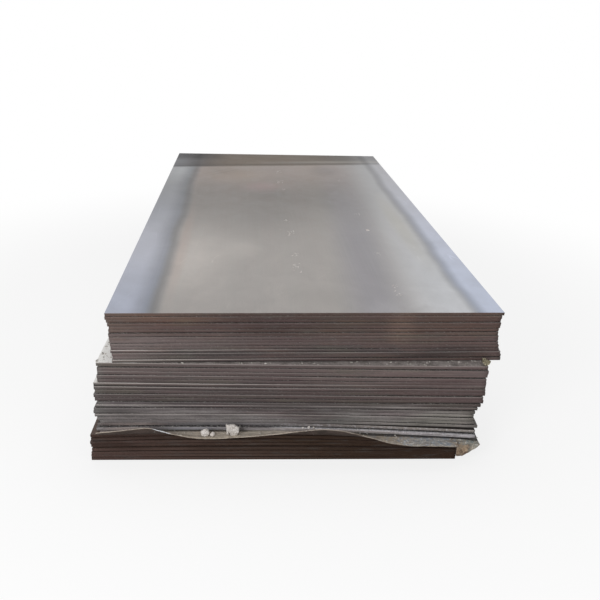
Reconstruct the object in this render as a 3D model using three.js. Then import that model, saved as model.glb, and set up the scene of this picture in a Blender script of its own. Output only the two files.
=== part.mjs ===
// A store's stack of hot-rolled steel plate: four bundles and one thin cover sheet, lying on a floor.
// Every plate is its own closed solid. X is the plates' width, Y their length, Z is up, in millimetres.

import * as THREE from 'three';
import { mergeVertices } from 'three/addons/utils/BufferGeometryUtils.js';

// Plate sizes.
const METRIC_WIDTH = 1250;
const METRIC_LENGTH = 2500;
const TRIMMED_WIDTH = 1248;
const TRIMMED_LENGTH = 2470;
const FEET_WIDTH = 1220;
const FEET_LENGTH = 2440;
const THIN_PLATE = 10;
const THICK_PLATE = 12;

// The shear rolls the top arris over and leaves a smaller break at the bottom one.
const ROLL_OVER = 1.2;
const BURR_SIDE = 0.5;

// How many plates lie in each bundle, and how far each bundle is out of line with the top one.
const TOP_COUNT = 15;
const THICK_COUNT = 10;
const NARROW_COUNT = 7;
const PAIR_COUNT = 2;
const FLOOR_COUNT = 8;
const SLEWED_TURN = -2.1;
const SLEWED_FRONT = 20;
const SLEWED_ASIDE = 4;
const STEP_OUT = 15;
const STEP_FROM_PLATE = 6;
const NARROW_ASIDE = -3;
const NARROW_NOTCH = 17;
const PAIR_FRONT = 12;
const PAIR_TURN = -2.55;
const FLOOR_FRONT = 30;
const FLOOR_ASIDE = -64;
const FLOOR_TURN = -1.3;
const TOP_LEAN = 13;
const TOP_WAIST = 17;
const TOP_WAIST_POWER = 0.85;
const TOP_SWAY = 3;

// Small differences from plate to plate.
const SHUFFLE = 2.6;
const TWIST = 0.09;
const CONTACT_GAP = 0.6;
const TOP_WAVE = 0.6;
const THICK_WAVE = 0.95;
const NARROW_WAVE = 0.44;
const FLOOR_WAVE = 0.5;

// The ends of the lower plates hang below their middles.
const RIGHT_SAG = 30;
const LEFT_SAG = 6;
const RIGHT_SAG_START = -0.12;
const RIGHT_SAG_POWER = 1.5;
const LEFT_SAG_START = 0.4;
const LEFT_SAG_POWER = 2;
const NARROW_SAG = 0.55;
const PAIR_SAG = 0.75;

// The thin cover sheet with its buckled front edge and the torn tab at its right corner.
const SHEET_THICKNESS = 2.5;
const SHEET_FRONT = 82;
const SHEET_ASIDE = -2;
const GRIP_MARGIN = 13;
const FREE_STRIP = SHEET_FRONT - SLEWED_FRONT - PAIR_FRONT - GRIP_MARGIN;
const STRIP_POWER = 1.4;
// How far the front edge is bent up or down, at places given as parts of the sheet's width.
const EDGE_LIFTS = [
  [-0.5, 29], [-0.43, 35.5], [-0.365, 42.5], [-0.345, 35], [-0.3, 18], [-0.25, 3.5], [-0.2, 1.5],
  [-0.146, 6], [-0.05, 20], [0.03, 34.5], [0.077, 40.5], [0.137, 34.5], [0.208, 12.5], [0.255, -4],
  [0.31, -10], [0.4, -5], [0.5, -3],
];
const TAB_IN_FROM_CORNER = 64;
const TAB_DROP = 54;
const TAB_INNER_REACH = 30;
const TAB_HINGE = 30;
const CORNER_DROOP = 3;
const CORNER_SET_BACK = 22;

// Facets of the solids.
const ACROSS = 8;
const ALONG = 4;
const SHEET_FINE = 130;
const SHEET_FINE_CELLS = 9;
const SHEET_WIDE_CELLS = 40;
const SHEET_LONG_CELLS = 6;

const rad = THREE.MathUtils.degToRad;
const clamp = THREE.MathUtils.clamp;

// A repeatable irregular number from -1 to 1.
function uneven(index, salt) {
  const wobble = Math.sin(index * 12.9898 + salt * 78.233) * 43758.5453;
  return 2 * (wobble - Math.floor(wobble)) - 1;
}

// Colours and sheen of the bare steel, one material per solid.
function steel(color, roughness, metalness) {
  return new THREE.MeshStandardMaterial({ color, roughness, metalness });
}

// A spot on the plate's own plan, seen in the stack's plan.
function placeInPlan(pose, x, y) {
  const c = Math.cos(pose.turn);
  const s = Math.sin(pose.turn);
  return { x: pose.x + c * x - s * y, y: pose.y + s * x + c * y };
}

// How far a fully bent plate hangs down at a place across the stack's width.
function sagShape(x) {
  const u = x / (METRIC_WIDTH / 2);
  const right = Math.max(0, (u - RIGHT_SAG_START) / (1 - RIGHT_SAG_START));
  const left = Math.max(0, (-u - LEFT_SAG_START) / (1 - LEFT_SAG_START));
  return RIGHT_SAG * right ** RIGHT_SAG_POWER + LEFT_SAG * left ** LEFT_SAG_POWER;
}

// The height of a plate's underside over its own resting height, as a function of the stack's plan.
function reliefOf(index, wave, sag) {
  const lengthX = METRIC_WIDTH * (1.05 + 0.25 * uneven(index, 1));
  const lengthY = METRIC_LENGTH * (1.3 + 0.3 * uneven(index, 2));
  const phaseX = Math.PI * uneven(index, 3);
  const phaseY = Math.PI * uneven(index, 4);
  return (x, y) => {
    const ripple = Math.cos(2 * Math.PI * x / lengthX + phaseX) * Math.cos(2 * Math.PI * y / lengthY + phaseY);
    return wave * ripple - sag * sagShape(x);
  };
}

// A plate with rolled top arrises, bent to its relief.
function plateGeometry({ width, length, thickness }, pose, relief) {
  const box = new THREE.BoxGeometry(width, length, thickness, ACROSS, ALONG, 3);
  box.deleteAttribute('normal');
  box.deleteAttribute('uv');
  const plate = mergeVertices(box, 1e-3);
  const levels = [0, BURR_SIDE, thickness - ROLL_OVER, thickness];
  const insets = [BURR_SIDE, 0, 0, ROLL_OVER];
  const points = plate.attributes.position;
  for (let i = 0; i < points.count; i++) {
    const level = Math.round((points.getZ(i) / thickness + 0.5) * 3);
    const halfWidth = width / 2 - insets[level];
    const halfLength = length / 2 - insets[level];
    const x = clamp(points.getX(i), -halfWidth, halfWidth);
    const y = clamp(points.getY(i), -halfLength, halfLength);
    const spot = placeInPlan(pose, x, y);
    points.setXYZ(i, x, y, levels[level] + relief(spot.x, spot.y));
  }
  return plate;
}

// The stack so far: the group, and the last piece laid.
const stack = new THREE.Group();
stack.name = 'steel_plate_stack';
let under = { covers: () => true, top: () => -CONTACT_GAP };

// Says whether a place in the stack's plan is over or under a piece.
function plan(pose, width, length) {
  return (x, y) => {
    const back = placeInPlan({ x: 0, y: 0, turn: -pose.turn }, x - pose.x, y - pose.y);
    return Math.abs(back.x) <= width / 2 && Math.abs(back.y) <= length / 2;
  };
}

// The lowest resting height that keeps the contact gap over the last piece.
function restingHeight(pose, width, length, relief) {
  let height = -Infinity;
  const steps = 40;
  for (let i = 0; i <= steps; i++) {
    for (let j = 0; j <= steps; j++) {
      const spot = placeInPlan(pose, width * (i / steps - 0.5), length * (j / steps - 0.5));
      if (under.covers(spot.x, spot.y)) {
        height = Math.max(height, under.top(spot.x, spot.y) - relief(spot.x, spot.y));
      }
    }
  }
  return height + CONTACT_GAP;
}

// Puts one finished solid in place, and makes it the top of the stack.
function layDown(parent, name, geometry, material, pose, size, relief) {
  const height = restingHeight(pose, size.width, size.length, relief);
  const mesh = new THREE.Mesh(geometry, material);
  mesh.name = name;
  mesh.position.set(pose.x, pose.y, height);
  mesh.rotation.z = pose.turn;
  parent.add(mesh);
  under = {
    covers: plan(pose, size.width, size.length),
    top: (x, y) => height + relief(x, y) + size.thickness,
  };
}

// A bundle of like plates, laid from the bottom up. depth runs from 0 at its top plate to 1 at its lowest.
// A bundle may step out on its left from one plate down, where the plates were cut a little wider.
let laid = 0;
function layBundle(bundle) {
  const group = new THREE.Group();
  group.name = `${bundle.name}_bundle`;
  stack.add(group);
  for (let number = bundle.count; number >= 1; number--) {
    const depth = (number - 1) / Math.max(1, bundle.count - 1);
    const loose = bundle.squareTop && number === 1 ? 0 : 1;
    const step = bundle.stepOut && number >= STEP_FROM_PLATE ? bundle.stepOut : 0;
    const size = {
      width: bundle.width - (bundle.waist ? bundle.waist(depth) : 0) + step,
      length: bundle.length,
      thickness: bundle.thickness,
    };
    const pose = {
      x: bundle.aside(depth) - step / 2 + loose * SHUFFLE * uneven(laid, 5),
      y: -bundle.front(depth) + (METRIC_LENGTH - bundle.length) / -2 + loose * SHUFFLE * uneven(laid, 6),
      turn: rad(bundle.turn + loose * TWIST * uneven(laid, 7)),
    };
    const flat = laid === 0 || loose === 0;
    const relief = flat ? () => 0 : reliefOf(laid, bundle.wave, bundle.sag(depth));
    const name = `${bundle.name}_bundle_plate_${String(number).padStart(2, '0')}`;
    layDown(group, name, plateGeometry(size, pose, relief), bundle.material(), pose, size, relief);
    laid += 1;
  }
}

// The bend of the sheet's front edge, as a smooth run through its given lifts.
const edgeRun = new THREE.CubicInterpolant(
  new Float32Array(EDGE_LIFTS.map(([place]) => place)),
  new Float32Array(EDGE_LIFTS.map(([, lift]) => lift)),
  1,
);

function edgeLift(x) {
  return edgeRun.evaluate(clamp(x / METRIC_WIDTH, -0.5, 0.5))[0];
}

// How far the torn tab hangs at a place along the front edge.
function tabDrop(x) {
  const away = x - (METRIC_WIDTH / 2 - TAB_IN_FROM_CORNER);
  const reach = away < 0 ? TAB_INNER_REACH : TAB_IN_FROM_CORNER;
  return TAB_DROP * Math.max(0, 1 - Math.abs(away) / reach);
}

// The sheet's middle surface: it lies flat under the stack, curls up along its free front strip,
// and its front edge is torn and bent down near the right corner.
function sheetPoint(pose, sag, x, y) {
  const spot = placeInPlan(pose, x, y);
  const fromFront = y + METRIC_LENGTH / 2;
  const free = clamp(1 - fromFront / FREE_STRIP, 0, 1);
  const curl = edgeLift(x) * free ** STRIP_POWER;
  const point = new THREE.Vector3(x, y, curl - sag * sagShape(spot.x) + SHEET_THICKNESS / 2);
  const hinge = clamp(1 - fromFront / TAB_HINGE, 0, 1);
  const overSide = clamp(1 - (METRIC_WIDTH / 2 - x) / SHEET_FINE, 0, 1);
  const overFront = clamp(1 - fromFront / SHEET_FINE, 0, 1);
  const droop = CORNER_DROOP * overSide ** 2 * overFront;
  point.z -= tabDrop(x) * hinge ** 1.2 + droop;
  point.y += 0.45 * tabDrop(x) * hinge + CORNER_SET_BACK * overSide ** 2 * overFront;
  return point;
}

// The cover sheet as a closed solid: its middle surface pushed out by half its thickness each way.
function sheetGeometry(pose, sag) {
  const columns = SHEET_WIDE_CELLS + SHEET_FINE_CELLS;
  const rows = SHEET_LONG_CELLS + SHEET_FINE_CELLS;
  const box = new THREE.BoxGeometry(METRIC_WIDTH, METRIC_LENGTH, SHEET_THICKNESS, columns, rows, 1);
  box.deleteAttribute('normal');
  box.deleteAttribute('uv');
  const sheet = mergeVertices(box, 1e-3);
  const points = sheet.attributes.position;
  const fine = SHEET_FINE / SHEET_FINE_CELLS;
  for (let i = 0; i < points.count; i++) {
    const column = Math.round((points.getX(i) / METRIC_WIDTH + 0.5) * columns);
    const row = Math.round((points.getY(i) / METRIC_LENGTH + 0.5) * rows);
    const wide = (METRIC_WIDTH - SHEET_FINE) / SHEET_WIDE_CELLS;
    const long = (METRIC_LENGTH - SHEET_FINE) / SHEET_LONG_CELLS;
    const x = -METRIC_WIDTH / 2 + Math.min(column, SHEET_WIDE_CELLS) * wide
      + Math.max(0, column - SHEET_WIDE_CELLS) * fine;
    const y = -METRIC_LENGTH / 2 + Math.min(row, SHEET_FINE_CELLS) * fine
      + Math.max(0, row - SHEET_FINE_CELLS) * long;
    const middle = sheetPoint(pose, sag, x, y);
    const alongX = sheetPoint(pose, sag, x + 0.5, y).sub(sheetPoint(pose, sag, x - 0.5, y));
    const alongY = sheetPoint(pose, sag, x, y + 0.5).sub(sheetPoint(pose, sag, x, y - 0.5));
    const outward = alongX.cross(alongY).normalize();
    const side = Math.sign(points.getZ(i)) * SHEET_THICKNESS / 2;
    middle.addScaledVector(outward, side);
    points.setXYZ(i, middle.x, middle.y, middle.z);
  }
  return sheet;
}

function layCoverSheet() {
  const pose = { x: SHEET_ASIDE, y: -SHEET_FRONT, turn: rad(SLEWED_TURN) };
  const size = { width: METRIC_WIDTH, length: METRIC_LENGTH, thickness: SHEET_THICKNESS };
  const relief = (x) => -sagShape(x);
  const material = steel(0x8d8579, 0.75, 0.45);
  layDown(stack, 'buckled_cover_sheet', sheetGeometry(pose, 1), material, pose, size, relief);
}

layBundle({
  name: 'floor',
  count: FLOOR_COUNT,
  width: FEET_WIDTH,
  length: FEET_LENGTH,
  thickness: THIN_PLATE,
  turn: FLOOR_TURN,
  aside: () => FLOOR_ASIDE,
  front: () => FLOOR_FRONT,
  wave: FLOOR_WAVE,
  sag: (depth) => 1 - depth,
  material: () => steel(0x3d302c, 0.7, 0.5),
});

layCoverSheet();

layBundle({
  name: 'pair',
  count: PAIR_COUNT,
  width: METRIC_WIDTH,
  length: METRIC_LENGTH,
  thickness: THIN_PLATE,
  turn: PAIR_TURN,
  aside: () => SLEWED_ASIDE - NARROW_NOTCH / 2,
  front: (depth) => SLEWED_FRONT + PAIR_FRONT * depth,
  wave: NARROW_WAVE,
  sag: (depth) => PAIR_SAG + (1 - PAIR_SAG) / 2 * depth,
  material: () => steel(0x77706c, 0.6, 0.6),
});

layBundle({
  name: 'narrow',
  count: NARROW_COUNT,
  width: TRIMMED_WIDTH,
  length: TRIMMED_LENGTH,
  thickness: THIN_PLATE,
  turn: SLEWED_TURN,
  aside: (depth) => NARROW_ASIDE - NARROW_NOTCH * Math.sin(Math.PI * depth),
  front: () => SLEWED_FRONT,
  wave: NARROW_WAVE,
  sag: (depth) => NARROW_SAG * depth,
  material: () => steel(0x5a514c, 0.65, 0.55),
});

layBundle({
  name: 'thick',
  count: THICK_COUNT,
  width: METRIC_WIDTH,
  length: METRIC_LENGTH,
  thickness: THICK_PLATE,
  turn: SLEWED_TURN,
  aside: () => SLEWED_ASIDE,
  front: () => SLEWED_FRONT,
  stepOut: STEP_OUT,
  wave: THICK_WAVE,
  sag: () => 0,
  material: () => steel(0x5f5450, 0.65, 0.55),
});

layBundle({
  name: 'top',
  count: TOP_COUNT,
  width: METRIC_WIDTH,
  length: METRIC_LENGTH,
  thickness: THIN_PLATE,
  turn: 0,
  aside: (depth) => TOP_LEAN * depth ** 3 - TOP_SWAY * Math.sin(Math.PI * depth),
  front: () => 0,
  waist: (depth) => TOP_WAIST * Math.sin(Math.PI * depth ** TOP_WAIST_POWER),
  wave: TOP_WAVE,
  sag: () => 0,
  squareTop: true,
  material: () => steel(0x908d89, 0.5, 0.75),
});

// The origin is under the middle of the whole stack, on the floor.
const bounds = new THREE.Box3().setFromObject(stack, true);
const centre = bounds.getCenter(new THREE.Vector3());
stack.position.set(-centre.x, -centre.y, -bounds.min.z);
stack.updateMatrixWorld(true);

export default stack;
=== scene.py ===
# %% [markdown]
# # A store's stack of hot-rolled steel plate
# Plates lie in five lots on a level floor, with one thin buckled cover sheet between the lower
# ones. The frame from the measured model fixes where every piece lies. This lesson dresses it:
# each plate gets its sheared edge, the top one its mill scale, and the ledges their dirt.
# Everything is in metres, X across the plates, Y along them away from the viewer, Z up.

# %% Load the measured frame
import math

import bmesh
import bpy
import numpy as np
from mathutils import Matrix, Vector, noise
from mathutils.bvhtree import BVHTree


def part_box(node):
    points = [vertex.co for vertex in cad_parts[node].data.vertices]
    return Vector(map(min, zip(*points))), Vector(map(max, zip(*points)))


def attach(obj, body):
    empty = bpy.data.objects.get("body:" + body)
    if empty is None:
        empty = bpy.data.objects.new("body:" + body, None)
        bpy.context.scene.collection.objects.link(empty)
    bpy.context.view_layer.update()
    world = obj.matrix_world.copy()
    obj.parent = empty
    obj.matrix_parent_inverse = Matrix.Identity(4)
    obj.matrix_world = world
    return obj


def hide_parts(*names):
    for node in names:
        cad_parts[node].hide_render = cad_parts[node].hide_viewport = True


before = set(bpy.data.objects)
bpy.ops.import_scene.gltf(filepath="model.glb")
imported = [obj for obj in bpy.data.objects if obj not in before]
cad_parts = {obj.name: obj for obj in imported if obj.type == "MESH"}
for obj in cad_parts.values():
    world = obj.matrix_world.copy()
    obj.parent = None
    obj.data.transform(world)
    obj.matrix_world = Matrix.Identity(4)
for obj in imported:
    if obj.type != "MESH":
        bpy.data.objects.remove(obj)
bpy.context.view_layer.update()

# %% [markdown]
# ## The camera
# The stack is seen from a little above head height, from in front and slightly left of its middle.
# A camera can be aimed with a Track To constraint, but a fixed place and three turns are easier to
# repeat exactly: first the roll about the view, then the tilt, then the turn about the vertical.
# The lens is given as a field of view in pixels of a 600 pixel wide picture, which is how a
# camera is usually measured; Blender wants the same thing in millimetres of a 36 mm sensor.

# %% Set up the camera
EYE_FROM_TOP_EDGE = Vector((-0.18908, -1.94182, 0.86893))
CAMERA_TILT_DOWN, CAMERA_TURN, CAMERA_ROLL = 22.9516, -4.7099, 1.8280
FOCAL_PIXELS, PICTURE_PIXELS, SENSOR = 686.69, 600, 36.0


def placed(name, data):
    """A new object in the scene, at the origin."""
    made = bpy.data.objects.new(name, data)
    bpy.context.scene.collection.objects.link(made)
    return made


top_low, top_high = (Vector(corner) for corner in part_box("top_bundle_plate_01"))
top_edge = Vector(((top_low.x + top_high.x) / 2, top_low.y, top_high.z))
viewer = placed("viewer", bpy.data.cameras.new("viewer"))
viewer.data.sensor_width = SENSOR
viewer.data.lens = SENSOR * FOCAL_PIXELS / PICTURE_PIXELS
viewer.matrix_world = (
    Matrix.Translation(top_edge + EYE_FROM_TOP_EDGE)
    @ Matrix.Rotation(math.radians(CAMERA_TURN), 4, "Z")
    @ Matrix.Rotation(math.radians(90 - CAMERA_TILT_DOWN), 4, "X")
    @ Matrix.Rotation(math.radians(CAMERA_ROLL), 4, "Z")
)
bpy.context.scene.camera = viewer
bpy.context.scene.view_settings.view_transform = "Standard"
print("lens:", round(viewer.data.lens, 2), "mm")

# %% [markdown]
# ## A bench for node trees
# Materials and Geometry Nodes are both small graphs of nodes. Written out one node at a time they
# get long, so the bench adds a node and feeds its inputs in one call. What comes out of a node is
# a signal, which can be reckoned with: `height * 2 + 1` adds the two Math nodes that do the sum.


# %% Build the bench
def linear(hexcode):
    """A colour written as #rrggbb, in the linear light that Blender mixes in."""
    parts = [int(hexcode[i : i + 2], 16) / 255 for i in (1, 3, 5)]
    return tuple(p / 12.92 if p <= 0.04045 else ((p + 0.055) / 1.055) ** 2.4 for p in parts) + (1.0,)


class Signal:
    """One output of a node on a bench."""

    def __init__(self, bench, socket):
        self.bench, self.socket = bench, socket

    def __add__(self, other):
        return self.bench.calc("ADD", self, other)

    def __sub__(self, other):
        return self.bench.calc("SUBTRACT", self, other)

    def __rsub__(self, other):
        return self.bench.calc("SUBTRACT", other, self)

    def __mul__(self, other):
        return self.bench.calc("MULTIPLY", self, other)

    def __truediv__(self, other):
        return self.bench.calc("DIVIDE", self, other)

    def __gt__(self, other):
        return self.bench.calc("GREATER_THAN", self, other)

    def __lt__(self, other):
        return self.bench.calc("LESS_THAN", self, other)

    def __abs__(self):
        return self.bench.calc("ABSOLUTE", self)

    def mask(self, low, high):
        """0 below low, 1 above high, smooth between. low may be the larger, which turns it round."""
        feeds = {"Value": self, "From Min": low, "From Max": high}
        return self.bench.get("ShaderNodeMapRange", feeds, interpolation_type="SMOOTHSTEP")

    def stretch(self, low, high, out_low, out_high):
        """The run from low to high, stretched evenly to the run from out_low to out_high."""
        feeds = {"Value": self, "From Min": low, "From Max": high, "To Min": out_low, "To Max": out_high}
        return self.bench.get("ShaderNodeMapRange", feeds)

    def ridge(self, centre, half, soft):
        """1 within half of centre, fading to 0 over soft."""
        return abs(self - centre).mask(half + soft, half)

    def tint(self, colour, share):
        """This colour with another laid over it, by a share from 0 to 1."""
        return self.bench.mix(share, self, colour)

    def shade(self, amount):
        """This colour made lighter or darker by an amount."""
        return self.bench.get("ShaderNodeVectorMath", {0: self, "Scale": amount}, operation="SCALE")


class Bench:
    """Adds nodes to a tree. A value is a signal, a number, a vector or a colour such as "#9a8b89"."""

    def __init__(self, tree):
        self.tree = tree

    def feed(self, socket, value):
        if isinstance(value, Signal):
            self.tree.links.new(value.socket, socket)
        elif isinstance(value, str) and value.startswith("#"):
            socket.default_value = linear(value)
        else:
            socket.default_value = value

    def add(self, kind, feeds=None, **settings):
        """A new node, with its settings made and its inputs fed by name or number."""
        node = self.tree.nodes.new(kind)
        for key, value in settings.items():
            setattr(node, key, value)
        for socket, value in (feeds or {}).items():
            self.feed(node.inputs[socket], value)
        return node

    def get(self, kind, feeds=None, out=0, **settings):
        """The signal from one output of a new node."""
        return Signal(self, self.add(kind, feeds, **settings).outputs[out])

    def calc(self, operation, *values):
        return self.get("ShaderNodeMath", dict(enumerate(values)), operation=operation)


print("bench ready")

# %% [markdown]
# ## Mixing finishes
# A finish is a material on the bench. It has calls for what every finish needs: to read a stored
# attribute, to take a noise pattern stretched in some direction, to mix two colours by a mask, and
# to wear the result on the shader. All patterns read the object's own coordinates in metres, so
# they stay put on the steel.


# %% Build the finish
class Finish(Bench):
    """One procedural finish. The constants are set on the shader's own sockets."""

    def __init__(self, name, **constants):
        self.material = bpy.data.materials.new(name)
        self.material.use_nodes = True
        super().__init__(self.material.node_tree)
        self.tree.nodes.clear()
        self.shader = self.add("ShaderNodeBsdfPrincipled")
        self.add("ShaderNodeOutputMaterial", {"Surface": Signal(self, self.shader.outputs["BSDF"])})
        for socket, value in constants.items():
            self.shader.inputs[socket.replace("_", " ")].default_value = value
        self.place = self.get("ShaderNodeTexCoord", out="Object")

    def wear(self, socket, value):
        self.feed(self.shader.inputs[socket], value)

    def read(self, attribute):
        return self.get("ShaderNodeAttribute", out="Fac", attribute_name=attribute)

    def axis(self, letter):
        return self.get("ShaderNodeSeparateXYZ", {0: self.place}, letter)

    def noise(
        self, scale, stretch=(1, 1, 1), detail=3.0, roughness=0.5, shift=(0, 0, 0), warp=0.0, where=None
    ):
        """A soft pattern around 0.5. stretch packs it tighter along X, Y and Z."""
        feeds = {"Vector": where or self.place, "Location": shift, "Scale": stretch}
        place = self.get("ShaderNodeMapping", feeds)
        feeds = {"Vector": place, "Scale": scale, "Detail": detail}
        feeds |= {"Roughness": roughness, "Distortion": warp}
        return self.get("ShaderNodeTexNoise", feeds, "Fac")

    def mix(self, share, under, over):
        return self.get("ShaderNodeMix", {0: share, 6: under, 7: over}, 2, data_type="RGBA")

    def ramp(self, value, *stops):
        """A run of colours along a value, as (place, colour) pairs."""
        node = self.add("ShaderNodeValToRGB", {0: value})
        node.color_ramp.interpolation = "B_SPLINE"
        while len(node.color_ramp.elements) < len(stops):
            node.color_ramp.elements.new(0.5)
        for element, (spot, colour) in zip(node.color_ramp.elements, stops):
            element.position, element.color = spot, linear(colour)
        return Signal(self, node.outputs[0])

    def bump(self, height, distance, strength):
        feeds = {"Height": height, "Distance": distance, "Strength": strength}
        self.wear("Normal", self.get("ShaderNodeBump", feeds))


print("finish ready")

# %% [markdown]
# ## Geometry Nodes rules
# Plates, crumbs and specks repeat by a rule, so Geometry Nodes make them. A rule is a node tree
# with named inputs. `make_by` lays a rule on a start mesh, sets every named input through its
# socket's identifier, and keeps the evaluated result as a plain mesh at the origin.


# %% Build the rule helper
class Rule(Bench):
    """A Geometry Nodes tree in the making. inputs is {name: (kind, default)}."""

    def __init__(self, name, inputs):
        super().__init__(bpy.data.node_groups.new(name, "GeometryNodeTree"))
        self.tree.is_modifier = True
        face = self.tree.interface
        face.new_socket("Geometry", in_out="OUTPUT", socket_type="NodeSocketGeometry")
        face.new_socket("Geometry", in_out="INPUT", socket_type="NodeSocketGeometry")
        for label, (kind, default) in inputs.items():
            socket = face.new_socket(label, in_out="INPUT", socket_type="NodeSocket" + kind)
            if default is not None:
                socket.default_value = default
        self.given = {socket.name: Signal(self, socket) for socket in self.add("NodeGroupInput").outputs}
        self.result = self.add("NodeGroupOutput").inputs["Geometry"]

    def vector(self, x, y, z):
        return self.get("ShaderNodeCombineXYZ", {0: x, 1: y, 2: z})

    def split(self, vector):
        return [Signal(self, part) for part in self.add("ShaderNodeSeparateXYZ", {0: vector}).outputs]

    def blend(self, operation, first, second):
        """Two vectors joined by a Vector Math node."""
        return self.get("ShaderNodeVectorMath", {0: first, 1: second}, operation=operation)

    def curve(self, value, points):
        """A bent line of straight stretches through the points, read at a value."""
        node = self.add("ShaderNodeFloatCurve", {"Value": value})
        line = node.mapping.curves[0]
        while len(line.points) < len(points):
            line.points.new(0.5, 0.5)
        for point, place in zip(line.points, points):
            point.location, point.handle_type = place, "VECTOR"
        node.mapping.update()
        return Signal(self, node.outputs[0])

    def chance(self, low, high, seed):
        """A random number for each point."""
        node = self.add("FunctionNodeRandomValue", data_type="FLOAT")
        values = {"Min": low, "Max": high, "Seed": seed}
        for socket in node.inputs:
            if socket.enabled and socket.name in values:
                self.feed(socket, values[socket.name])
        return Signal(self, next(socket for socket in node.outputs if socket.enabled))

    def shoot(self, target, start, direction, reach, out):
        """What a ray meets: out is the name of one of the Raycast node's outputs."""
        feeds = {"Target Geometry": target, "Source Position": start, "Ray Direction": direction}
        return self.get("GeometryNodeRaycast", {**feeds, "Ray Length": reach}, out)

    def rough_ball(self, bumps, amounts):
        """A small ball pushed out of shape by noise, as a crumb or a flake is."""
        ball = self.get("GeometryNodeMeshIcoSphere", {"Radius": 1.0, "Subdivisions": 2})
        push = self.get("ShaderNodeTexNoise", {"Scale": bumps, "Detail": 1.0}, 1, noise_dimensions="3D")
        push = self.blend("MULTIPLY", self.blend("SUBTRACT", push, (0.5, 0.5, 0.5)), amounts)
        return self.get("GeometryNodeSetPosition", {"Geometry": ball, "Offset": push})

    def lay(self, points, shape, turn, scale, finish):
        """A copy of the shape on every point, realized and dressed. This ends the rule."""
        feeds = {"Points": points, "Instance": shape, "Rotation": turn, "Scale": scale}
        laid = self.get("GeometryNodeInstanceOnPoints", feeds)
        realized = self.get("GeometryNodeRealizeInstances", {"Geometry": laid})
        dressed = self.get("GeometryNodeSetMaterial", {"Geometry": realized, "Material": finish})
        self.feed(self.result, dressed)


def plain_mesh(piece, name):
    """Replaces a piece's live modifiers by their result."""
    bpy.context.view_layer.update()
    graph = bpy.context.evaluated_depsgraph_get()
    made = bpy.data.meshes.new_from_object(
        piece.evaluated_get(graph), preserve_all_data_layers=True, depsgraph=graph
    )
    piece.modifiers.clear()
    piece.data = made
    made.name = name


def make_by(rule, name, start, **values):
    """A new plain piece: the rule's result over a start mesh, with its named inputs set."""
    piece = placed(name, start)
    modifier = piece.modifiers.new("rule", "NODES")
    modifier.node_group = rule.tree
    for socket in rule.tree.interface.items_tree:
        key = socket.name.replace(" ", "_").lower()
        if socket.in_out == "INPUT" and key in values:
            modifier[socket.identifier] = values[key]
    plain_mesh(piece, name)
    return piece


print("rule helper ready")

# %% [markdown]
# ## The sheared plate
# A guillotine shear leaves a known edge: its top arris is rolled over, below it is a narrow land
# that the blade burnished, then a rougher torn zone, and at the bottom a slight burr. Bevelling a
# box would round the edge evenly, which is not what a shear does. The rule here starts from a grid
# box with nine rows in its edge and moves each row to its place in that profile. Two rays, one
# from above and one from below, find the measured plate, so the new one follows every wave and
# sag in it. The height in the edge and the place in the plan are stored for the finish to read.

# %% Write the sheared plate's rule
EDGE_ROWS = 9
AT_RIM = 0.4999
PROBE_ACROSS, PROBE_ALONG = 0.994, 0.997
HIGH_ABOVE, FAR_BELOW, RAY = 2.0, -1.0, 5.0
# Each row's place in the edge, from 0 at the bottom to 1 at the top, and what it is moved by.
HEIGHT_BY_ROW = [
    (0, 0), (0.125, 0.05), (0.25, 0.26), (0.375, 0.46), (0.5, 0.58),
    (0.625, 0.8), (0.75, 0.9), (0.875, 0.97), (1, 1),
]
ROLL_BY_ROW = [(0, 0), (0.625, 0), (0.75, 0.16), (0.875, 0.5), (1, 1)]
TEAR_BY_ROW = [(0, 0.85), (0.125, 0.35), (0.25, 1.0), (0.375, 0.8), (0.5, 0.1), (0.625, 0), (1, 0)]

sheared_plate = Rule(
    "sheared_plate",
    {
        "Width": ("Float", 1.25),
        "Length": ("Float", 2.5),
        "Centre": ("Vector", None),
        "Turn": ("Float", 0.0),
        "Cells across": ("Int", 72),
        "Cells along": ("Int", 16),
        "Roll over": ("Float", 0.0013),
        "Tear depth": ("Float", 0.0006),
        "Edge ripple": ("Float", 0.0005),
        "Seed": ("Float", 0.0),
        "Face finish": ("Material", None),
        "Edge finish": ("Material", None),
    },
)


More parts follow.
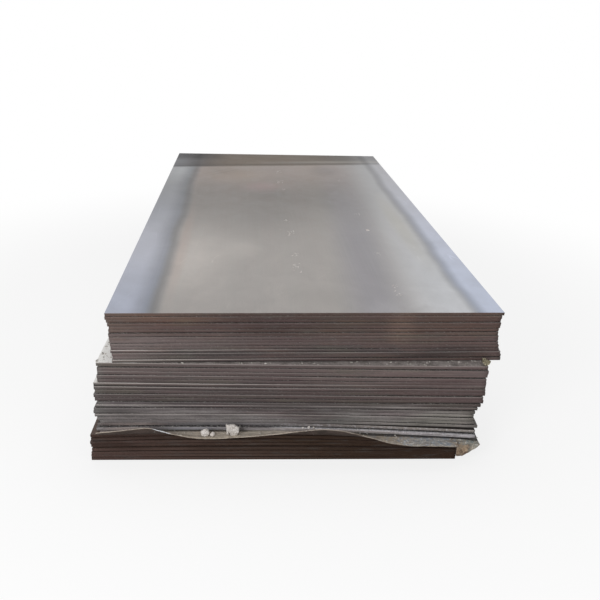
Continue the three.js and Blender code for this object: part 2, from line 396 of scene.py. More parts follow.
def write_sheared_plate(rule):
    given = rule.given
    width, length = given["Width"], given["Length"]
    feeds = {"Size": rule.vector(width, length, 1.0), "Vertices Z": EDGE_ROWS}
    feeds |= {"Vertices X": given["Cells across"] + 1.0, "Vertices Y": given["Cells along"] + 1.0}
    grid = rule.get("GeometryNodeMeshCube", feeds, "Mesh")
    x, y, z = rule.split(rule.get("GeometryNodeInputPosition"))
    level = z + 0.5
    height = rule.curve(level, HEIGHT_BY_ROW)
    across, lengthwise = x / width + 0.5, y / length + 0.5
    for label, value in (("edge_height", height), ("across", across), ("lengthwise", lengthwise)):
        feeds = {"Geometry": grid, "Name": label}
        store = rule.add("GeometryNodeStoreNamedAttribute", feeds, data_type="FLOAT")
        rule.feed(next(s for s in store.inputs if s.name == "Value" and s.enabled), value)
        grid = Signal(rule, store.outputs[0])
    # How far each row stands back from the plate's outline.
    roll = rule.curve(level, ROLL_BY_ROW) * given["Roll over"]
    tear = rule.curve(level, TEAR_BY_ROW) * given["Tear depth"]
    rim = rule.calc("MAXIMUM", abs(across - 0.5) > AT_RIM, abs(lengthwise - 0.5) > AT_RIM)
    feeds = {"Vector": rule.vector(x, y, level * 0.02), "W": given["Seed"], "Scale": 14.0, "Detail": 3.0}
    uneven = rule.get("ShaderNodeTexNoise", feeds, noise_dimensions="4D")
    inset = roll + tear + (uneven - 0.35) * given["Edge ripple"] * rim
    outline = rule.vector(x * (1.0 - inset * 2.0 / width), y * (1.0 - inset * 2.0 / length), 0.0)
    # The rays go down a little inside the measured outline, so that none can miss it.
    probe = rule.vector(x * PROBE_ACROSS, y * PROBE_ALONG, 0.0)

    def set_down(vector):
        feeds = {"Vector": vector, "Angle": given["Turn"]}
        turned = rule.get("ShaderNodeVectorRotate", feeds, rotation_type="Z_AXIS")
        return rule.split(rule.blend("ADD", turned, given["Centre"]))

    def surface(start_height, heading):
        px, py, _ = set_down(probe)
        start = rule.vector(px, py, start_height)
        return rule.split(rule.shoot(given["Geometry"], start, (0, 0, heading), RAY, "Hit Position"))[2]

    top, bottom = surface(HIGH_ABOVE, -1.0), surface(FAR_BELOW, 1.0)
    fx, fy, _ = set_down(outline)
    place = rule.vector(fx, fy, bottom + height * (top - bottom))
    moved = rule.get("GeometryNodeSetPosition", {"Geometry": grid, "Position": place})
    # Flat faces and sheared edges get a finish each, and only the edges are shaded smooth.
    is_edge = abs(rule.split(rule.get("GeometryNodeInputNormal"))[2]) < 0.9
    shaded = rule.get("GeometryNodeSetShadeSmooth", {"Geometry": moved, "Shade Smooth": is_edge})
    faced = rule.get("GeometryNodeSetMaterial", {"Geometry": shaded, "Material": given["Face finish"]})
    realized = rule.get("GeometryNodeRealizeInstances", {"Geometry": faced})
    feeds = {"Geometry": realized, "Selection": is_edge, "Material": given["Edge finish"]}
    rule.feed(rule.result, rule.get("GeometryNodeSetMaterial", feeds))


write_sheared_plate(sheared_plate)
print("sheared plate rule:", len(sheared_plate.tree.nodes), "nodes")

# %% [markdown]
# ## Reading the frame's plates
# Each measured plate is a slightly turned rectangle. Its four plan corners are the points that
# reach furthest along the two diagonals, and they give its width, length, centre and turn. The
# same four numbers turn a place on the plate into a place in the stack.


# %% Read each plate's plan
def plan_of(node):
    """Width, length, centre and turn of a measured plate."""
    points = np.array([v.co[:2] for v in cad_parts[node].data.vertices])
    diagonal, other = points @ (1, 1), points @ (1, -1)
    front_left, back_right = points[diagonal.argmin()], points[diagonal.argmax()]
    back_left, front_right = points[other.argmin()], points[other.argmax()]
    front = front_right - front_left
    side = back_left - front_left
    return {
        "width": float(np.linalg.norm(front)),
        "length": float(np.linalg.norm(side)),
        "centre": tuple((front_left + back_right) / 2) + (0.0,),
        "turn": math.atan2(front[1], front[0]),
    }


def in_stack(centre, turn, x, y):
    """A place on a piece's own plan, seen in the stack's plan."""
    c, s = math.cos(turn), math.sin(turn)
    return centre[0] + c * x - s * y, centre[1] + s * x + c * y


lots = {}
for node in sorted(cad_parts):
    if "_bundle_plate_" in node:
        lots.setdefault(node.split("_")[0], []).append(node)
print("plates in each lot:", {lot: len(plates) for lot, plates in lots.items()})

# %% [markdown]
# ## The finish of a sheared edge
# A cut edge rusts sooner than the rolled face, so from a distance a stack looks brown and striped.
# Up close each edge has the land, a little brighter, the torn zone under it, dull and pitted, and
# a rubbed arris on top with a bright painted highlight; the groove below holds grime with painted
# shade, and the bottom of the edge is painted a little darker as shade of the joint. The height in
# the edge, stored by the rule, tells the finish which of these it is on, and three more numbers vary
# it plate by plate.
# Fine upright striations are the marks of the blade.


# %% Mix the sheared edge finishes
def run_across(finish, colours):
    """Four colours spread from the left end of the stack's front to its right end."""
    across = finish.axis("X").stretch(-0.6, 0.62, 0.0, 1.0)
    wander = finish.noise(3.0, stretch=(1, 1, 3), shift=(1, 4, 2)).stretch(0.3, 0.7, -0.09, 0.09)
    return finish.ramp(across + wander, *zip((0.08, 0.38, 0.63, 0.93), colours))


def spot(first, second, centre, reach):
    """1 at a place of two coordinates, fading to 0 at the rim of an ellipse round it."""
    squares = []
    for value, middle, half in zip((first, second), centre, reach):
        offset = (value - middle) / half
        squares.append(offset * offset)
    return first.bench.calc("SQRT", squares[0] + squares[1]).mask(1.0, 0.1)


def sheared_edge(name, upper, lower, middle_height, rust, lines, patches=(), dull=0.0, frost=0.0):
    """upper and lower are the colours of the lot's upper and lower plates, from left to right.
    patches are (place in X and Z, reach, colour, share); frost is the share of white dust specks."""
    finish = Finish(name, Metallic=0.2 * (1 - dull), Specular_IOR_Level=0.5 - 0.4 * dull)
    height, tone = finish.read("edge_height"), finish.read("plate_tone")
    rub_and_highlight, grime_and_shade = finish.read("arris_rub"), finish.read("groove_grime")
    x, z = finish.axis("X"), finish.axis("Z")
    ragged = finish.noise(4.0, stretch=(1, 1, 8), shift=(5, 0, 1)).stretch(0.3, 0.7, -0.03, 0.03)
    is_upper = (z + ragged).mask(middle_height - 0.03, middle_height + 0.03)
    colour = finish.mix(is_upper, run_across(finish, lower), run_across(finish, upper))
    for centre, reach, tint, share in patches:
        colour = colour.tint(tint, spot(x, z + ragged * 0.4, centre, reach) * share)
    # Rust and cooler scale come in long flat patches, plate by plate.
    patch = finish.noise(5.0, stretch=(1, 1, 9), detail=5, roughness=0.62)
    blotch = finish.noise(15.0, stretch=(1, 1, 7), detail=4, roughness=0.62, shift=(0, 2, 5))
    colour = colour.tint("#6a4c3e", patch.mask(0.5, 0.72) * rust)
    colour = colour.tint("#504e4c", blotch.mask(0.5, 0.34) * 0.35)
    # The rust film turns purplish in some stretches and olive in others.
    hue = finish.noise(3.0, stretch=(1, 1, 11), detail=4, roughness=0.6, shift=(4, 6, 1))
    colour = colour.tint("#5b4647", hue.mask(0.53, 0.66) * (0.35 * (1 - dull)))
    colour = colour.tint("#5f5c50", hue.mask(0.46, 0.33) * (0.35 * (1 - dull)))
    # Drag lines of the blade run along the edge, finer than a plate, with faint upright marks.
    coarse = finish.noise(1.0, stretch=(2.2, 2.2, 260), detail=2, roughness=0.6)
    fine = finish.noise(1.0, stretch=(5, 5, 620), detail=2, shift=(3, 3, 3))
    striation = finish.noise(1.0, stretch=(300, 300, 40), detail=2, roughness=0.6)
    pits = finish.noise(260.0, detail=2, roughness=0.6)
    swing = (1 - lines, 1 + lines)
    light = coarse.stretch(0.3, 0.7, *swing) * tone * fine.stretch(0.3, 0.7, *swing)
    light *= striation.stretch(0.3, 0.7, 0.94, 1.06)
    light *= pits.stretch(0.3, 0.6, 0.88, 1.06)
    # The edge is painted darker at its bottom as shade of the joint, and lighter there on the dull floor lot.
    light *= height.stretch(0.0, 0.2, 0.92 + 0.12 * dull, 1.0)
    # The seam where the blade's cut ends and the plate broke off the rest of the way.
    seam_height = finish.noise(1.6, stretch=(1, 1, 70), detail=2, shift=(8, 8, 2))
    seam_height = seam_height.stretch(0.3, 0.7, 0.4, 0.62)
    broken = finish.noise(4.0, stretch=(1, 1, 50), shift=(2, 2, 6)).mask(0.34, 0.6)
    seam = (height - seam_height).ridge(0.0, 0.03, 0.13) * broken
    colour = colour.shade(light * seam.stretch(0.0, 1.0, 1.0, 1 - 1.6 * lines))
    # Short bright dashes where a burr was brushed, and white dust that settled on rough steel.
    dash = finish.noise(1.0, stretch=(70, 70, 520), detail=2, roughness=0.7, shift=(9, 2, 4)).mask(0.6, 0.7)
    colour = colour.tint("#a89f9b", dash * (0.22 * (1 - dull)))
    if frost:
        dust = finish.noise(170.0, stretch=(0.7, 1, 1.2), roughness=0.75, shift=(1, 9, 9)).mask(0.5, 0.66)
        colour = colour.tint("#d4d2d6", dust * x.mask(-0.25, 0.1) * frost)
    # The rubbed top arris with a bright painted highlight, and grime with painted shade in the groove below.
    worn_and_lit = finish.noise(3.0, stretch=(1, 1, 60), shift=(7, 1, 0)).mask(0.3, 0.5)
    bright = height.mask(0.66, 0.82) * rub_and_highlight * worn_and_lit.stretch(0.0, 1.0, 0.4, 1.0)
    colour = colour.tint("#b3aba7", bright * (1 - dull))
    patchy = finish.noise(2.2, stretch=(1, 1, 50), detail=2, shift=(3, 5, 8)).mask(0.3, 0.5)
    # The near-black groove is grime together with painted shade between the plates.
    colour = colour.tint("#120f0e", height.mask(0.42, 0.12) * grime_and_shade * patchy.stretch(0.0, 1.0, 0.5, 1.0))
    finish.wear("Base Color", colour)
    finish.wear("Roughness", height.stretch(0.5, 0.7, 0.78, 0.55))
    finish.bump(striation * 0.5 + (pits + coarse), 0.0005, 0.5)
    return finish.material


TOP_LOT_PATCHES = (
    ((-0.42, 0.51), (0.22, 0.03), "#70513f", 0.38),
    ((-0.37, 0.503), (0.06, 0.03), "#66594a", 0.4),
    ((-0.1, 0.5), (0.24, 0.05), "#3d2f2e", 0.35),
    ((0.31, 0.475), (0.07, 0.08), "#836b5d", 0.5),
    ((0.15, 0.49), (0.09, 0.04), "#51483e", 0.35),
    ((0.16, 0.398), (0.24, 0.022), "#434142", 0.5),
    ((0.47, 0.4), (0.14, 0.02), "#443c3c", 0.4),
    ((-0.64, 0.46), (0.05, 0.1), "#5c5856", 0.6),
    ((-0.25, 0.389), (0.5, 0.022), "#393231", 0.8),
    ((0.45, 0.387), (0.3, 0.02), "#372e2d", 0.75),
)
THICK_LOT_PATCHES = (((-0.67, 0.33), (0.06, 0.16), "#6a6865", 0.7),)
NARROW_LOT_PATCHES = (
    ((-0.67, 0.18), (0.06, 0.14), "#6a6866", 0.7),
    ((0.43, 0.15), (0.16, 0.03), "#7b7a70", 0.5),
    ((0.3, 0.175), (0.14, 0.02), "#7d6f71", 0.5),
    ((0.1, 0.15), (0.12, 0.02), "#6d706c", 0.5),
    ((0.58, 0.16), (0.05, 0.08), "#4c4a46", 0.6),
    ((-0.6, 0.172), (0.13, 0.025), "#3f3c3b", 0.75),
    ((-0.6, 0.135), (0.13, 0.025), "#757170", 0.6),
)
UPPER_PAIR_PATCHES = (((-0.54, 0.115), (0.12, 0.06), "#b8aca7", 0.85),)
LOWER_PAIR_PATCHES = (
    ((-0.36, 0.11), (0.14, 0.2), "#9d9ea6", 0.6),
    ((-0.57, 0.1), (0.09, 0.06), "#d9cdc7", 0.85),
)
UPPER_PAIR = ("#746f6d", "#6d6c71", "#98908c", "#979089")
LOWER_PAIR = ("#918c8d", "#928f92", "#bdb4b0", "#b5b1b5")
edge_finish = {
    "top": sheared_edge(
        "top_lot_sheared_edge",
        ("#604f48", "#412d2b", "#55463f", "#5e4942"),
        ("#6f6361", "#524443", "#5b4d4a", "#5f4d4a"),
        0.455, 0.3, 0.09, TOP_LOT_PATCHES,
    ),
    "thick": sheared_edge(
        "thick_lot_sheared_edge",
        ("#645755", "#5c504f", "#6a5c59", "#70615f"),
        ("#4f4443", "#4b403f", "#564846", "#5d4c4b"),
        0.29, 0.1, 0.13, THICK_LOT_PATCHES,
    ),
    "narrow": sheared_edge(
        "narrow_lot_sheared_edge",
        ("#50474a", "#4f4847", "#534b4b", "#514341"),
        ("#8e8786", "#7b7777", "#8f8a89", "#8d8782"),
        0.185, 0.05, 0.13, NARROW_LOT_PATCHES,
    ),
    "pair_bundle_plate_01": sheared_edge(
        "shaded_pair_edge", UPPER_PAIR, UPPER_PAIR, 0.112, 0.05, 0.1, UPPER_PAIR_PATCHES, frost=0.7
    ),
    "pair_bundle_plate_02": sheared_edge(
        "limed_pair_edge", LOWER_PAIR, LOWER_PAIR, 0.112, 0.05, 0.1, LOWER_PAIR_PATCHES, frost=0.8
    ),
    "floor": sheared_edge(
        "floor_lot_shaded_edge",
        ("#3d2f2a", "#40322a", "#35271d", "#3a2b25"),
        ("#52413c", "#4f4039", "#382b22", "#3d2d24"),
        0.06, 0.1, 0.06, dull=1.0,
    ),
}
print("edge finishes:", sorted(edge_finish))

# %% [markdown]
# ## The finish of the top plate
# Hot rolling leaves a blue-grey skin of mill scale, and its satin sheen shows the surroundings.
# These reflections are painted into the colour: a pale blue band along each long edge, a dark line
# dividing it from the warm grey middle, and a dark brown cross band at the far end. The middle
# darkens halfway along and a pale bay lies right of it. All of this is painted by the plate's own
# across and lengthwise places, with noise to make every border wander. Bare metal turns mirror
# bright at a flat view; the Specular Tint input tones that down in the far band.

# %% Choose the mill scale's colours
MIDDLE = (0.0, "#918d8a"), (0.3, "#98938f"), (0.6, "#5b5753"), (0.78, "#857972")
BAY = (0.0, "#babcc0"), (0.45, "#a4a4a6"), (0.9, "#939496")
# The side bands and the far band are painted reflections.
LEFT_BAND = (0.0, "#9ba1b1"), (0.27, "#aeafb8"), (0.45, "#8b8e97"), (0.68, "#727376"), (0.8, "#989a9d")
RIGHT_BAND = (0.0, "#afb8cb"), (0.45, "#b1b3bf"), (0.75, "#a2a2a7")
FAR_BAND = (
    (0.0, "#77797f"), (0.12, "#434041"), (0.18, "#594f46"),
    (0.27, "#6b5e50"), (0.7, "#6c5f51"), (1.0, "#858586"),
)
# Patches inside the middle, each as its place across and along, reach, colour and share.
MIDDLE_PATCHES = (
    ((0.18, 0.2), (0.17, 0.22), "#b3ada8", 0.64),
    ((0.5, 0.56), (0.26, 0.14), "#5f5a56", 0.35),
    ((0.41, 0.65), (0.12, 0.07), "#957b7b", 0.4),
    ((0.3, 0.77), (0.2, 0.12), "#857566", 0.5),
    ((0.25, 0.8), (0.14, 0.06), "#6e6256", 0.45),
    ((0.4, 0.44), (0.2, 0.16), "#6b6764", 0.45),
    ((0.7, 0.81), (0.09, 0.08), "#675e58", 0.65),
    ((0.145, 0.26), (0.03, 0.3), "#a0887e", 0.3),
    ((0.43, 0.6), (0.11, 0.07), "#57534f", 0.35),
    ((0.68, 0.54), (0.08, 0.12), "#5d5a57", 0.3),
    ((0.54, 0.05), (0.15, 0.06), "#85827e", 0.35),
    ((0.32, 0.24), (0.1, 0.08), "#b0aaa5", 0.4),
    ((0.7, 0.01), (0.07, 0.05), "#b0adaa", 0.4),
)
print("patches in the middle:", len(MIDDLE_PATCHES))


# %% Mix the mill scale
def mill_scale():
    finish = Finish("rolled_mill_scale", Metallic=0.75)
    across, along = finish.read("across"), finish.read("lengthwise")
    run = along + finish.noise(1.1, stretch=(1.2, 1, 1), shift=(0.4, 0.7, 0)).stretch(0.25, 0.75, -0.05, 0.05)
    middle = finish.ramp(run, *MIDDLE)
    for centre, reach, tint, share in MIDDLE_PATCHES:
        middle = middle.tint(tint, spot(across, along, centre, reach) * share)
    colour = middle.tint(finish.ramp(run, *BAY), (across - along * 0.06).mask(0.69, 0.88))
    blue = across.ridge(along.stretch(0.0, 1.0, 0.68, 0.78), 0.01, 0.11)
    colour = colour.tint("#757580", blue * along.stretch(0.3, 0.75, 0.55, 0.15))
    colour = colour.tint("#a5a092", spot(across, along, (0.885, 0.38), (0.05, 0.3)) * 0.4)
    # The two side bands and the dark lines that divide them from the middle, all painted reflection.
    wander = finish.noise(1.7, stretch=(0, 1, 0), detail=4, shift=(1, 0, 0)).stretch(0.3, 0.7, -0.01, 0.01)
    from_left_line = across - (wander + along.stretch(0.0, 0.4, 0.115, 0.107))
    wander = finish.noise(2.3, stretch=(0, 1, 0), detail=4, shift=(5, 2, 0)).stretch(0.3, 0.7, -0.008, 0.008)
    from_right_line = across - (wander + 0.931)
    colour = colour.tint(finish.ramp(run, *LEFT_BAND), from_left_line.mask(0.006, -0.02))
    colour = colour.tint(finish.ramp(run, *RIGHT_BAND), from_right_line.mask(-0.018, 0.012))
    left_dark = from_left_line.mask(0.03, 0.0) * from_left_line.mask(-0.07, 0.0)
    colour = colour.tint("#7f858f", left_dark * 0.3)
    # The dark brown cross band at the far end, a painted reflection, lies a little askew. It fades towards
    # the right.
    askew = along - across.stretch(0.0, 1.0, 0.838, 0.895)
    far = askew.mask(-0.012, 0.012) * across.stretch(0.84, 0.955, 1.0, 0.3)
    colour = colour.tint(finish.ramp(across, *FAR_BAND), far * 0.93)
    colour = colour.tint("#98948e", askew.ridge(0.034, 0.004, 0.014) * across.mask(0.3, 0.6) * 0.42)
    # Rolling streaks with a faint tint, mottling and long scratches. They fade towards the far end.
    faint = finish.noise(1.0, stretch=(34, 0.5, 1), detail=4, roughness=0.7)
    colour = colour.tint(finish.ramp(faint, (0.3, "#8e918a"), (0.5, "#958f8b"), (0.7, "#9a8b89")), 0.08)
    streak = finish.noise(1.0, stretch=(150, 1.5, 1), roughness=0.6, shift=(3, 0, 0))
    streak = (streak - 0.5) * along.stretch(0.15, 0.5, 1.0, 0.12)
    mottle = finish.noise(9.0, stretch=(1.3, 1, 1), detail=5, roughness=0.62, warp=0.6)
    cloud = finish.noise(3.2, stretch=(1.4, 1, 1), detail=5, roughness=0.65, warp=0.8, shift=(7, 3, 0))
    light = (streak.stretch(-0.25, 0.25, -0.03, 0.03) + 1.0) * mottle.stretch(0.3, 0.7, 0.94, 1.055)
    light *= cloud.stretch(0.3, 0.7, 0.95, 1.05)
    # The far band was rubbed crosswise, so its streaks run the other way.
    rubbed = finish.noise(1.0, stretch=(2.5, 45, 1), roughness=0.6, shift=(1, 6, 0))
    light *= ((rubbed - 0.5) * far).stretch(-0.2, 0.2, 0.84, 1.16)
    # The left line's painted reflection deepens away from the viewer, and eases where it enters the far band.
    depth = along.stretch(0.45, 0.65, 0.36, 0.48) * left_dark
    depth *= (far * along.mask(0.955, 0.915)).stretch(0.0, 1.0, 1.0, 0.6)
    light *= 1.0 - depth
    light *= from_right_line.ridge(0.0, 0.002, 0.028).stretch(0.0, 1.0, 1.0, 0.65)
    light *= askew.ridge(0.012, 0.004, 0.012).stretch(0.0, 1.0, 1.0, 0.75)
    # The far rim is darker still, most of all near its two corners.
    to_corner = across.mask(0.28, 0.12) * 0.46 + across.mask(0.55, 0.85) * 0.3
    light *= 1.0 - along.mask(0.91, 0.96) * (to_corner + 0.11)
    scratches = finish.noise(1.4, stretch=(2.2, 0.8, 1), detail=1.5, warp=0.8, shift=(2, 4, 0))
    light += scratches.ridge(0.52, 0.0006, 0.0022) * mottle.mask(0.5, 0.6) * 0.16
    # Drag marks of another plate's corner run slantwise over the far left part.
    slant = finish.axis("Y") - finish.axis("X")
    drag_marks = slant.ridge(1.075, 0.002, 0.012) + slant.ridge(1.14, 0.001, 0.01)
    light -= drag_marks * spot(across, along, (0.23, 0.79), (0.16, 0.08)) * 0.16
    finish.wear("Base Color", colour.shade(light))
    finish.wear("Specular Tint", finish.mix(far * 0.44, (1, 1, 1, 1), (0.12, 0.1, 0.08, 1)))
    finish.wear("Roughness", (streak + mottle).stretch(0.2, 0.8, 0.36, 0.5))
    finish.bump(streak + mottle * 0.7, 0.0004, 0.25)
    return finish.material


top_face = mill_scale()
print("top face:", top_face.name)

# %% [markdown]
# ## The face of a covered plate
# The faces inside the stack only show along ledges, where grit and lime dust settle on the scale.


# %% Mix the covered face
def dusty_face(name, steel, dust, dust_share, drift=0.0, frost=0.0, grain=0.65):
    """drift is the share of white lime that lies thick near the left side of the lot, and frost
    the share of a pale bluish dust on its right part."""
    finish = Finish(name, Metallic=0.25)
    film = finish.noise(28.0, detail=6, roughness=0.72)
    speckle = finish.noise(240.0, roughness=0.7)
    share = (film + speckle * 0.6).mask(0.62, 0.95) * dust_share
    colour = finish.mix(share, steel, dust)
    if drift:
        streaks = finish.noise(1.0, stretch=(110, 6, 1), detail=4, roughness=0.6)
        limed = (finish.axis("X") + film.stretch(0.3, 0.7, -0.03, 0.03)).mask(-0.5, -0.56)
        colour = colour.tint(finish.mix(streaks.mask(0.25, 0.55), "#e6e4e1", "#f4f3f0"), limed * drift)
        finish.wear("Metallic", limed.stretch(0.0, 1.0, 0.25, 0.0))
    if frost:
        # to_cover is how far a point lies in front of the plate above; just in front of it a black painted
        # shadow is laid.
        gap_shadow = finish.read("to_cover").mask(0.0045, 0.0015)
        frosted = finish.mix(speckle.mask(0.42, 0.56), "#a5a2a8", "#e6e4e8")
        colour = colour.tint(frosted, finish.axis("X").mask(-0.12, -0.03) * frost)
        colour = colour.tint("#161312", gap_shadow * 0.85)
    grains = finish.noise(300.0, detail=2, roughness=0.6).mask(0.56, 0.66)
    finish.wear("Base Color", colour.tint("#dcdad6", grains * grain))
    finish.wear("Roughness", share.stretch(0.0, 1.0, 0.5, 0.9))
    finish.bump(speckle + film, 0.0012, 0.5)
    return finish.material


limed_face = dusty_face("limed_ledge_face", "#6f6966", "#a39a97", 0.8, drift=1.0, grain=0.45)
frosted_face = dusty_face("frosted_pair_ledge", "#3d3a3b", "#6f6b6c", 0.6, frost=0.9)
plain_face = dusty_face("covered_scale_face", "#575250", "#77716c", 0.4)
# This face is painted dark as shade where the plate above overhangs it.
shaded_gap_face = dusty_face("sooty_gap_face", "#3b3634", "#4d4744", 0.3, grain=0.0)
shaded_face = dusty_face("shaded_rusty_face", "#4d3d35", "#5c4c44", 0.4, grain=0.0)
print("faces:", limed_face.name, frosted_face.name, plain_face.name, shaded_gap_face.name, shaded_face.name)

# %% [markdown]
# ## Shearing every plate
# The rule runs once for each measured plate. The numbers that vary a plate come from a fixed
# seed, apart from a few plates whose arris is rubbed with a bright painted highlight or whose
# groove is black with grime and painted shade.

# %% Set down how the lots differ
# How much the arris is rubbed and painted with a highlight, and the groove darkened by grime and
# painted shade, at the plate's left and right ends.
RUBBED_AND_HIGHLIT = {
    "top": {12: (1.0, -0.7), 13: (0.3, 0.3), 15: (0.95, -0.4)},
    "thick": {1: (0.4, 0.3), 3: (0.3, 0.0), 4: (0.35, 0.0), 6: (0.8, 0.15), 7: (0.5, 0.1), 9: (0.2, 0.3)},
    "narrow": {2: (0.85, 0.35), 5: (0.9, 0.3)},
}
BLACK_GROOVE = {
    "top": {4: (0.4, 0.4), 12: (0.9, 0.3), 14: (0.3, 0.95), 15: (1.0, 0.4)},
    "thick": {5: (0.4, 0.2), 6: (0.9, 0.1), 7: (0.6, 0.3), 10: (0.2, 0.6)},
    "narrow": {2: (0.8, 0.6), 4: (0.5, 0.2), 7: (0.0, 0.55)},
    "pair": {1: (0.0, 0.6), 2: (0.1, 0.3)},
}
# For each lot: the spread of tones, the depth of the tear and the least and most roll-over.
EDGES = {
    "top": (0.05, 0.0003, (0.0001, 0.0003)),
    "thick": (0.06, 0.0003, (0.0001, 0.0004)),
    "narrow": (0.1, 0.0004, (0.0002, 0.0005)),
    "pair": (0.03, 0.0006, (0.0004, 0.0008)),
    "floor": (0.05, 0.0003, (0.0002, 0.0004)),
}
FACES = {
    "top_bundle_plate_01": top_face,
    "thick_bundle_plate_01": limed_face,
    "thick_bundle_plate_06": limed_face,
    "pair_bundle_plate_01": shaded_gap_face,
    "pair_bundle_plate_02": frosted_face,
    "floor": shaded_face,
}
print("lots:", sorted(EDGES))


# %% Make the plates
def store(piece, label, values):
    """One value for each of the piece's points."""
    piece.data.attributes.new(label, "FLOAT", "POINT").data.foreach_set("value", values)


def from_left_to_right(piece, left, right):
    """Values that run from the piece's left end to its right end."""
    x = np.array([v.co.x for v in piece.data.vertices])
    return np.interp(x, (x.min(), x.max()), (left, right))


def to_cover(piece, node):
    """How far each point lies in front of the front edge of the plate above, seen in plan."""
    above = plan_of(node)
    plan = np.array([v.co[:2] for v in piece.data.vertices]) - above["centre"][:2]
    ahead = np.array((math.sin(above["turn"]), -math.cos(above["turn"])))
    return plan @ ahead - above["length"] / 2


chance = np.random.default_rng(24)
sheared = {}
for lot, plates in lots.items():
    tone_spread, tear_depth, roll_over = EDGES[lot]
    for node in plates:
        number = int(node[-2:])
        piece = make_by(
            sheared_plate,
            "sheared_" + node,
            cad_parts[node].data.copy(),
            **plan_of(node),
            seed=float(number + 20 * len(sheared)),
            roll_over=float(chance.uniform(*roll_over)),
            tear_depth=tear_depth,
            face_finish=FACES.get(node) or FACES.get(lot) or plain_face,
            edge_finish=edge_finish.get(node) or edge_finish[lot],
        )
        tones, rubs_and_highlights, grimes_and_shades = chance.uniform((-1, 0, 0), (1, 0.1, 0.1), (2, 3)).T
        rubs_and_highlights = RUBBED_AND_HIGHLIT.get(lot, {}).get(number, rubs_and_highlights)
        grimes_and_shades = BLACK_GROOVE.get(lot, {}).get(number, grimes_and_shades)
        store(piece, "plate_tone", from_left_to_right(piece, *(1 + tone_spread * tones)))
        store(piece, "arris_rub", from_left_to_right(piece, *rubs_and_highlights))
        store(piece, "groove_grime", from_left_to_right(piece, *grimes_and_shades))
        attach(piece, "root")
        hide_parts(node)
        sheared[node] = piece
pair_ledge = sheared["pair_bundle_plate_02"]
store(pair_ledge, "to_cover", to_cover(pair_ledge, "pair_bundle_plate_01"))
print("sheared plates:", len(sheared), "triangles:", sum(len(p.data.polygons) * 2 for p in sheared.values()))

# %% [markdown]
# ## The buckled cover sheet
# A thin sheet lies between the lower lots and sticks out in front of them. Forks and slings have
# bent its free strip up and down, and torn its right corner so that a tab hangs down. The strip's
# bend is a list of lifts along the front edge, joined by a smooth run. A cloth or a sculpted mesh
# could make the buckles, but a formula keeps the strip's real length and its thin even wall. Behind
# the strip the sheet is gripped, so each of its points takes its height from the measured sheet.

# %% Set down the sheet's sizes
SHEET_NODE, COVER_NODE = "buckled_cover_sheet", "pair_bundle_plate_02"
SHEET_WIDTH, SHEET_LENGTH, SHEET_WALL = 1.25, 2.5, 0.0025
SHEET_FROM_TOP_PLATE = Vector((-0.002, -0.082, 0))
SHEET_TURN = math.radians(-2.1)
FREE_STRIP, STRIP_POWER = 0.037, 1.4
# Places along the front edge as shares of the width from its middle, and lifts in millimetres.
EDGE_LIFTS = [
    (-0.5, 29), (-0.43, 35.5), (-0.365, 42.5), (-0.345, 35), (-0.3, 19.5), (-0.25, 6), (-0.2, 4),
    (-0.146, 8), (-0.05, 20), (0.03, 34.5), (0.077, 41.5), (0.137, 37), (0.208, 16.5), (0.255, 2),
    (0.31, -5), (0.4, -1.5), (0.46, -1), (0.5, 3.5),
]
TAB_TIP, TAB_TEAR, TAB_DROP, TAB_HINGE = 0.575, 0.551, 0.057, 0.03
TEAR_GAP, NICK_REACH, RIM_MARGIN, PAST_STRIP = 0.0002, 0.006, 0.004, 0.002
CORNER_REACH, CORNER_DROOP, CORNER_FLARE = 0.13, 0.003, 0.022
sheet_centre = (top_low + top_high) / 2 + SHEET_FROM_TOP_PLATE
print("free strip:", FREE_STRIP, "m, lifts:", len(EDGE_LIFTS))


# %% Shape the sheet's middle surface
def tree_of(piece):
    """A search tree that rays can be sent at."""
    mesh = piece.data
    return BVHTree.FromPolygons([v.co for v in mesh.vertices], [p.vertices for p in mesh.polygons])


def height_at(tree, x, y, start, heading):
    """The height at which an upright ray meets a piece."""
    return tree.ray_cast(Vector((x, y, start)), Vector((0, 0, heading)))[0].z


def smooth_run(points, places):
    """A smooth curve through (place, value) points, whose slope at each follows its neighbours."""
    at, value = (np.array(column, float) for column in zip(*points))
    slope = np.gradient(value, at)
    slope[1:-1] = (value[2:] - value[:-2]) / (at[2:] - at[:-2])
    i = np.clip(np.searchsorted(at, places) - 1, 0, len(at) - 2)
    span = at[i + 1] - at[i]
    s = (places - at[i]) / span
    start = (1 + 2 * s) * (1 - s) ** 2 * value[i] + s * (1 - s) ** 2 * span * slope[i]
    return start + s * s * (3 - 2 * s) * value[i + 1] - s * s * (1 - s) * span * slope[i + 1]


def gripped_height(x, y):
    """The height of the measured sheet's middle, found from above and from below."""
    px, py = in_stack(sheet_centre, SHEET_TURN, x, y)
    top = height_at(measured_tree, px, py, HIGH_ABOVE, -1)
    return (top + height_at(measured_tree, px, py, FAR_BELOW, 1)) / 2


def rough(values, salt, size):
    """Small repeatable unevenness along a line."""
    return np.array([noise.noise(Vector((v / size, salt, 0.5))) for v in values])


measured_tree = tree_of(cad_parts[SHEET_NODE])
half = SHEET_WIDTH / 2
columns = np.concatenate([
    np.linspace(-half, 0.5, 181)[:-1],
    np.linspace(0.5, TAB_TEAR - TEAR_GAP, 18),
    np.linspace(TAB_TEAR + TEAR_GAP, half, 34),
])
rows = np.concatenate([
    np.linspace(0, 0.042, 22), np.linspace(0.046, 0.13, 20), np.linspace(0.2, SHEET_LENGTH, 24)
])
print("sheet grid:", len(columns), "by", len(rows))


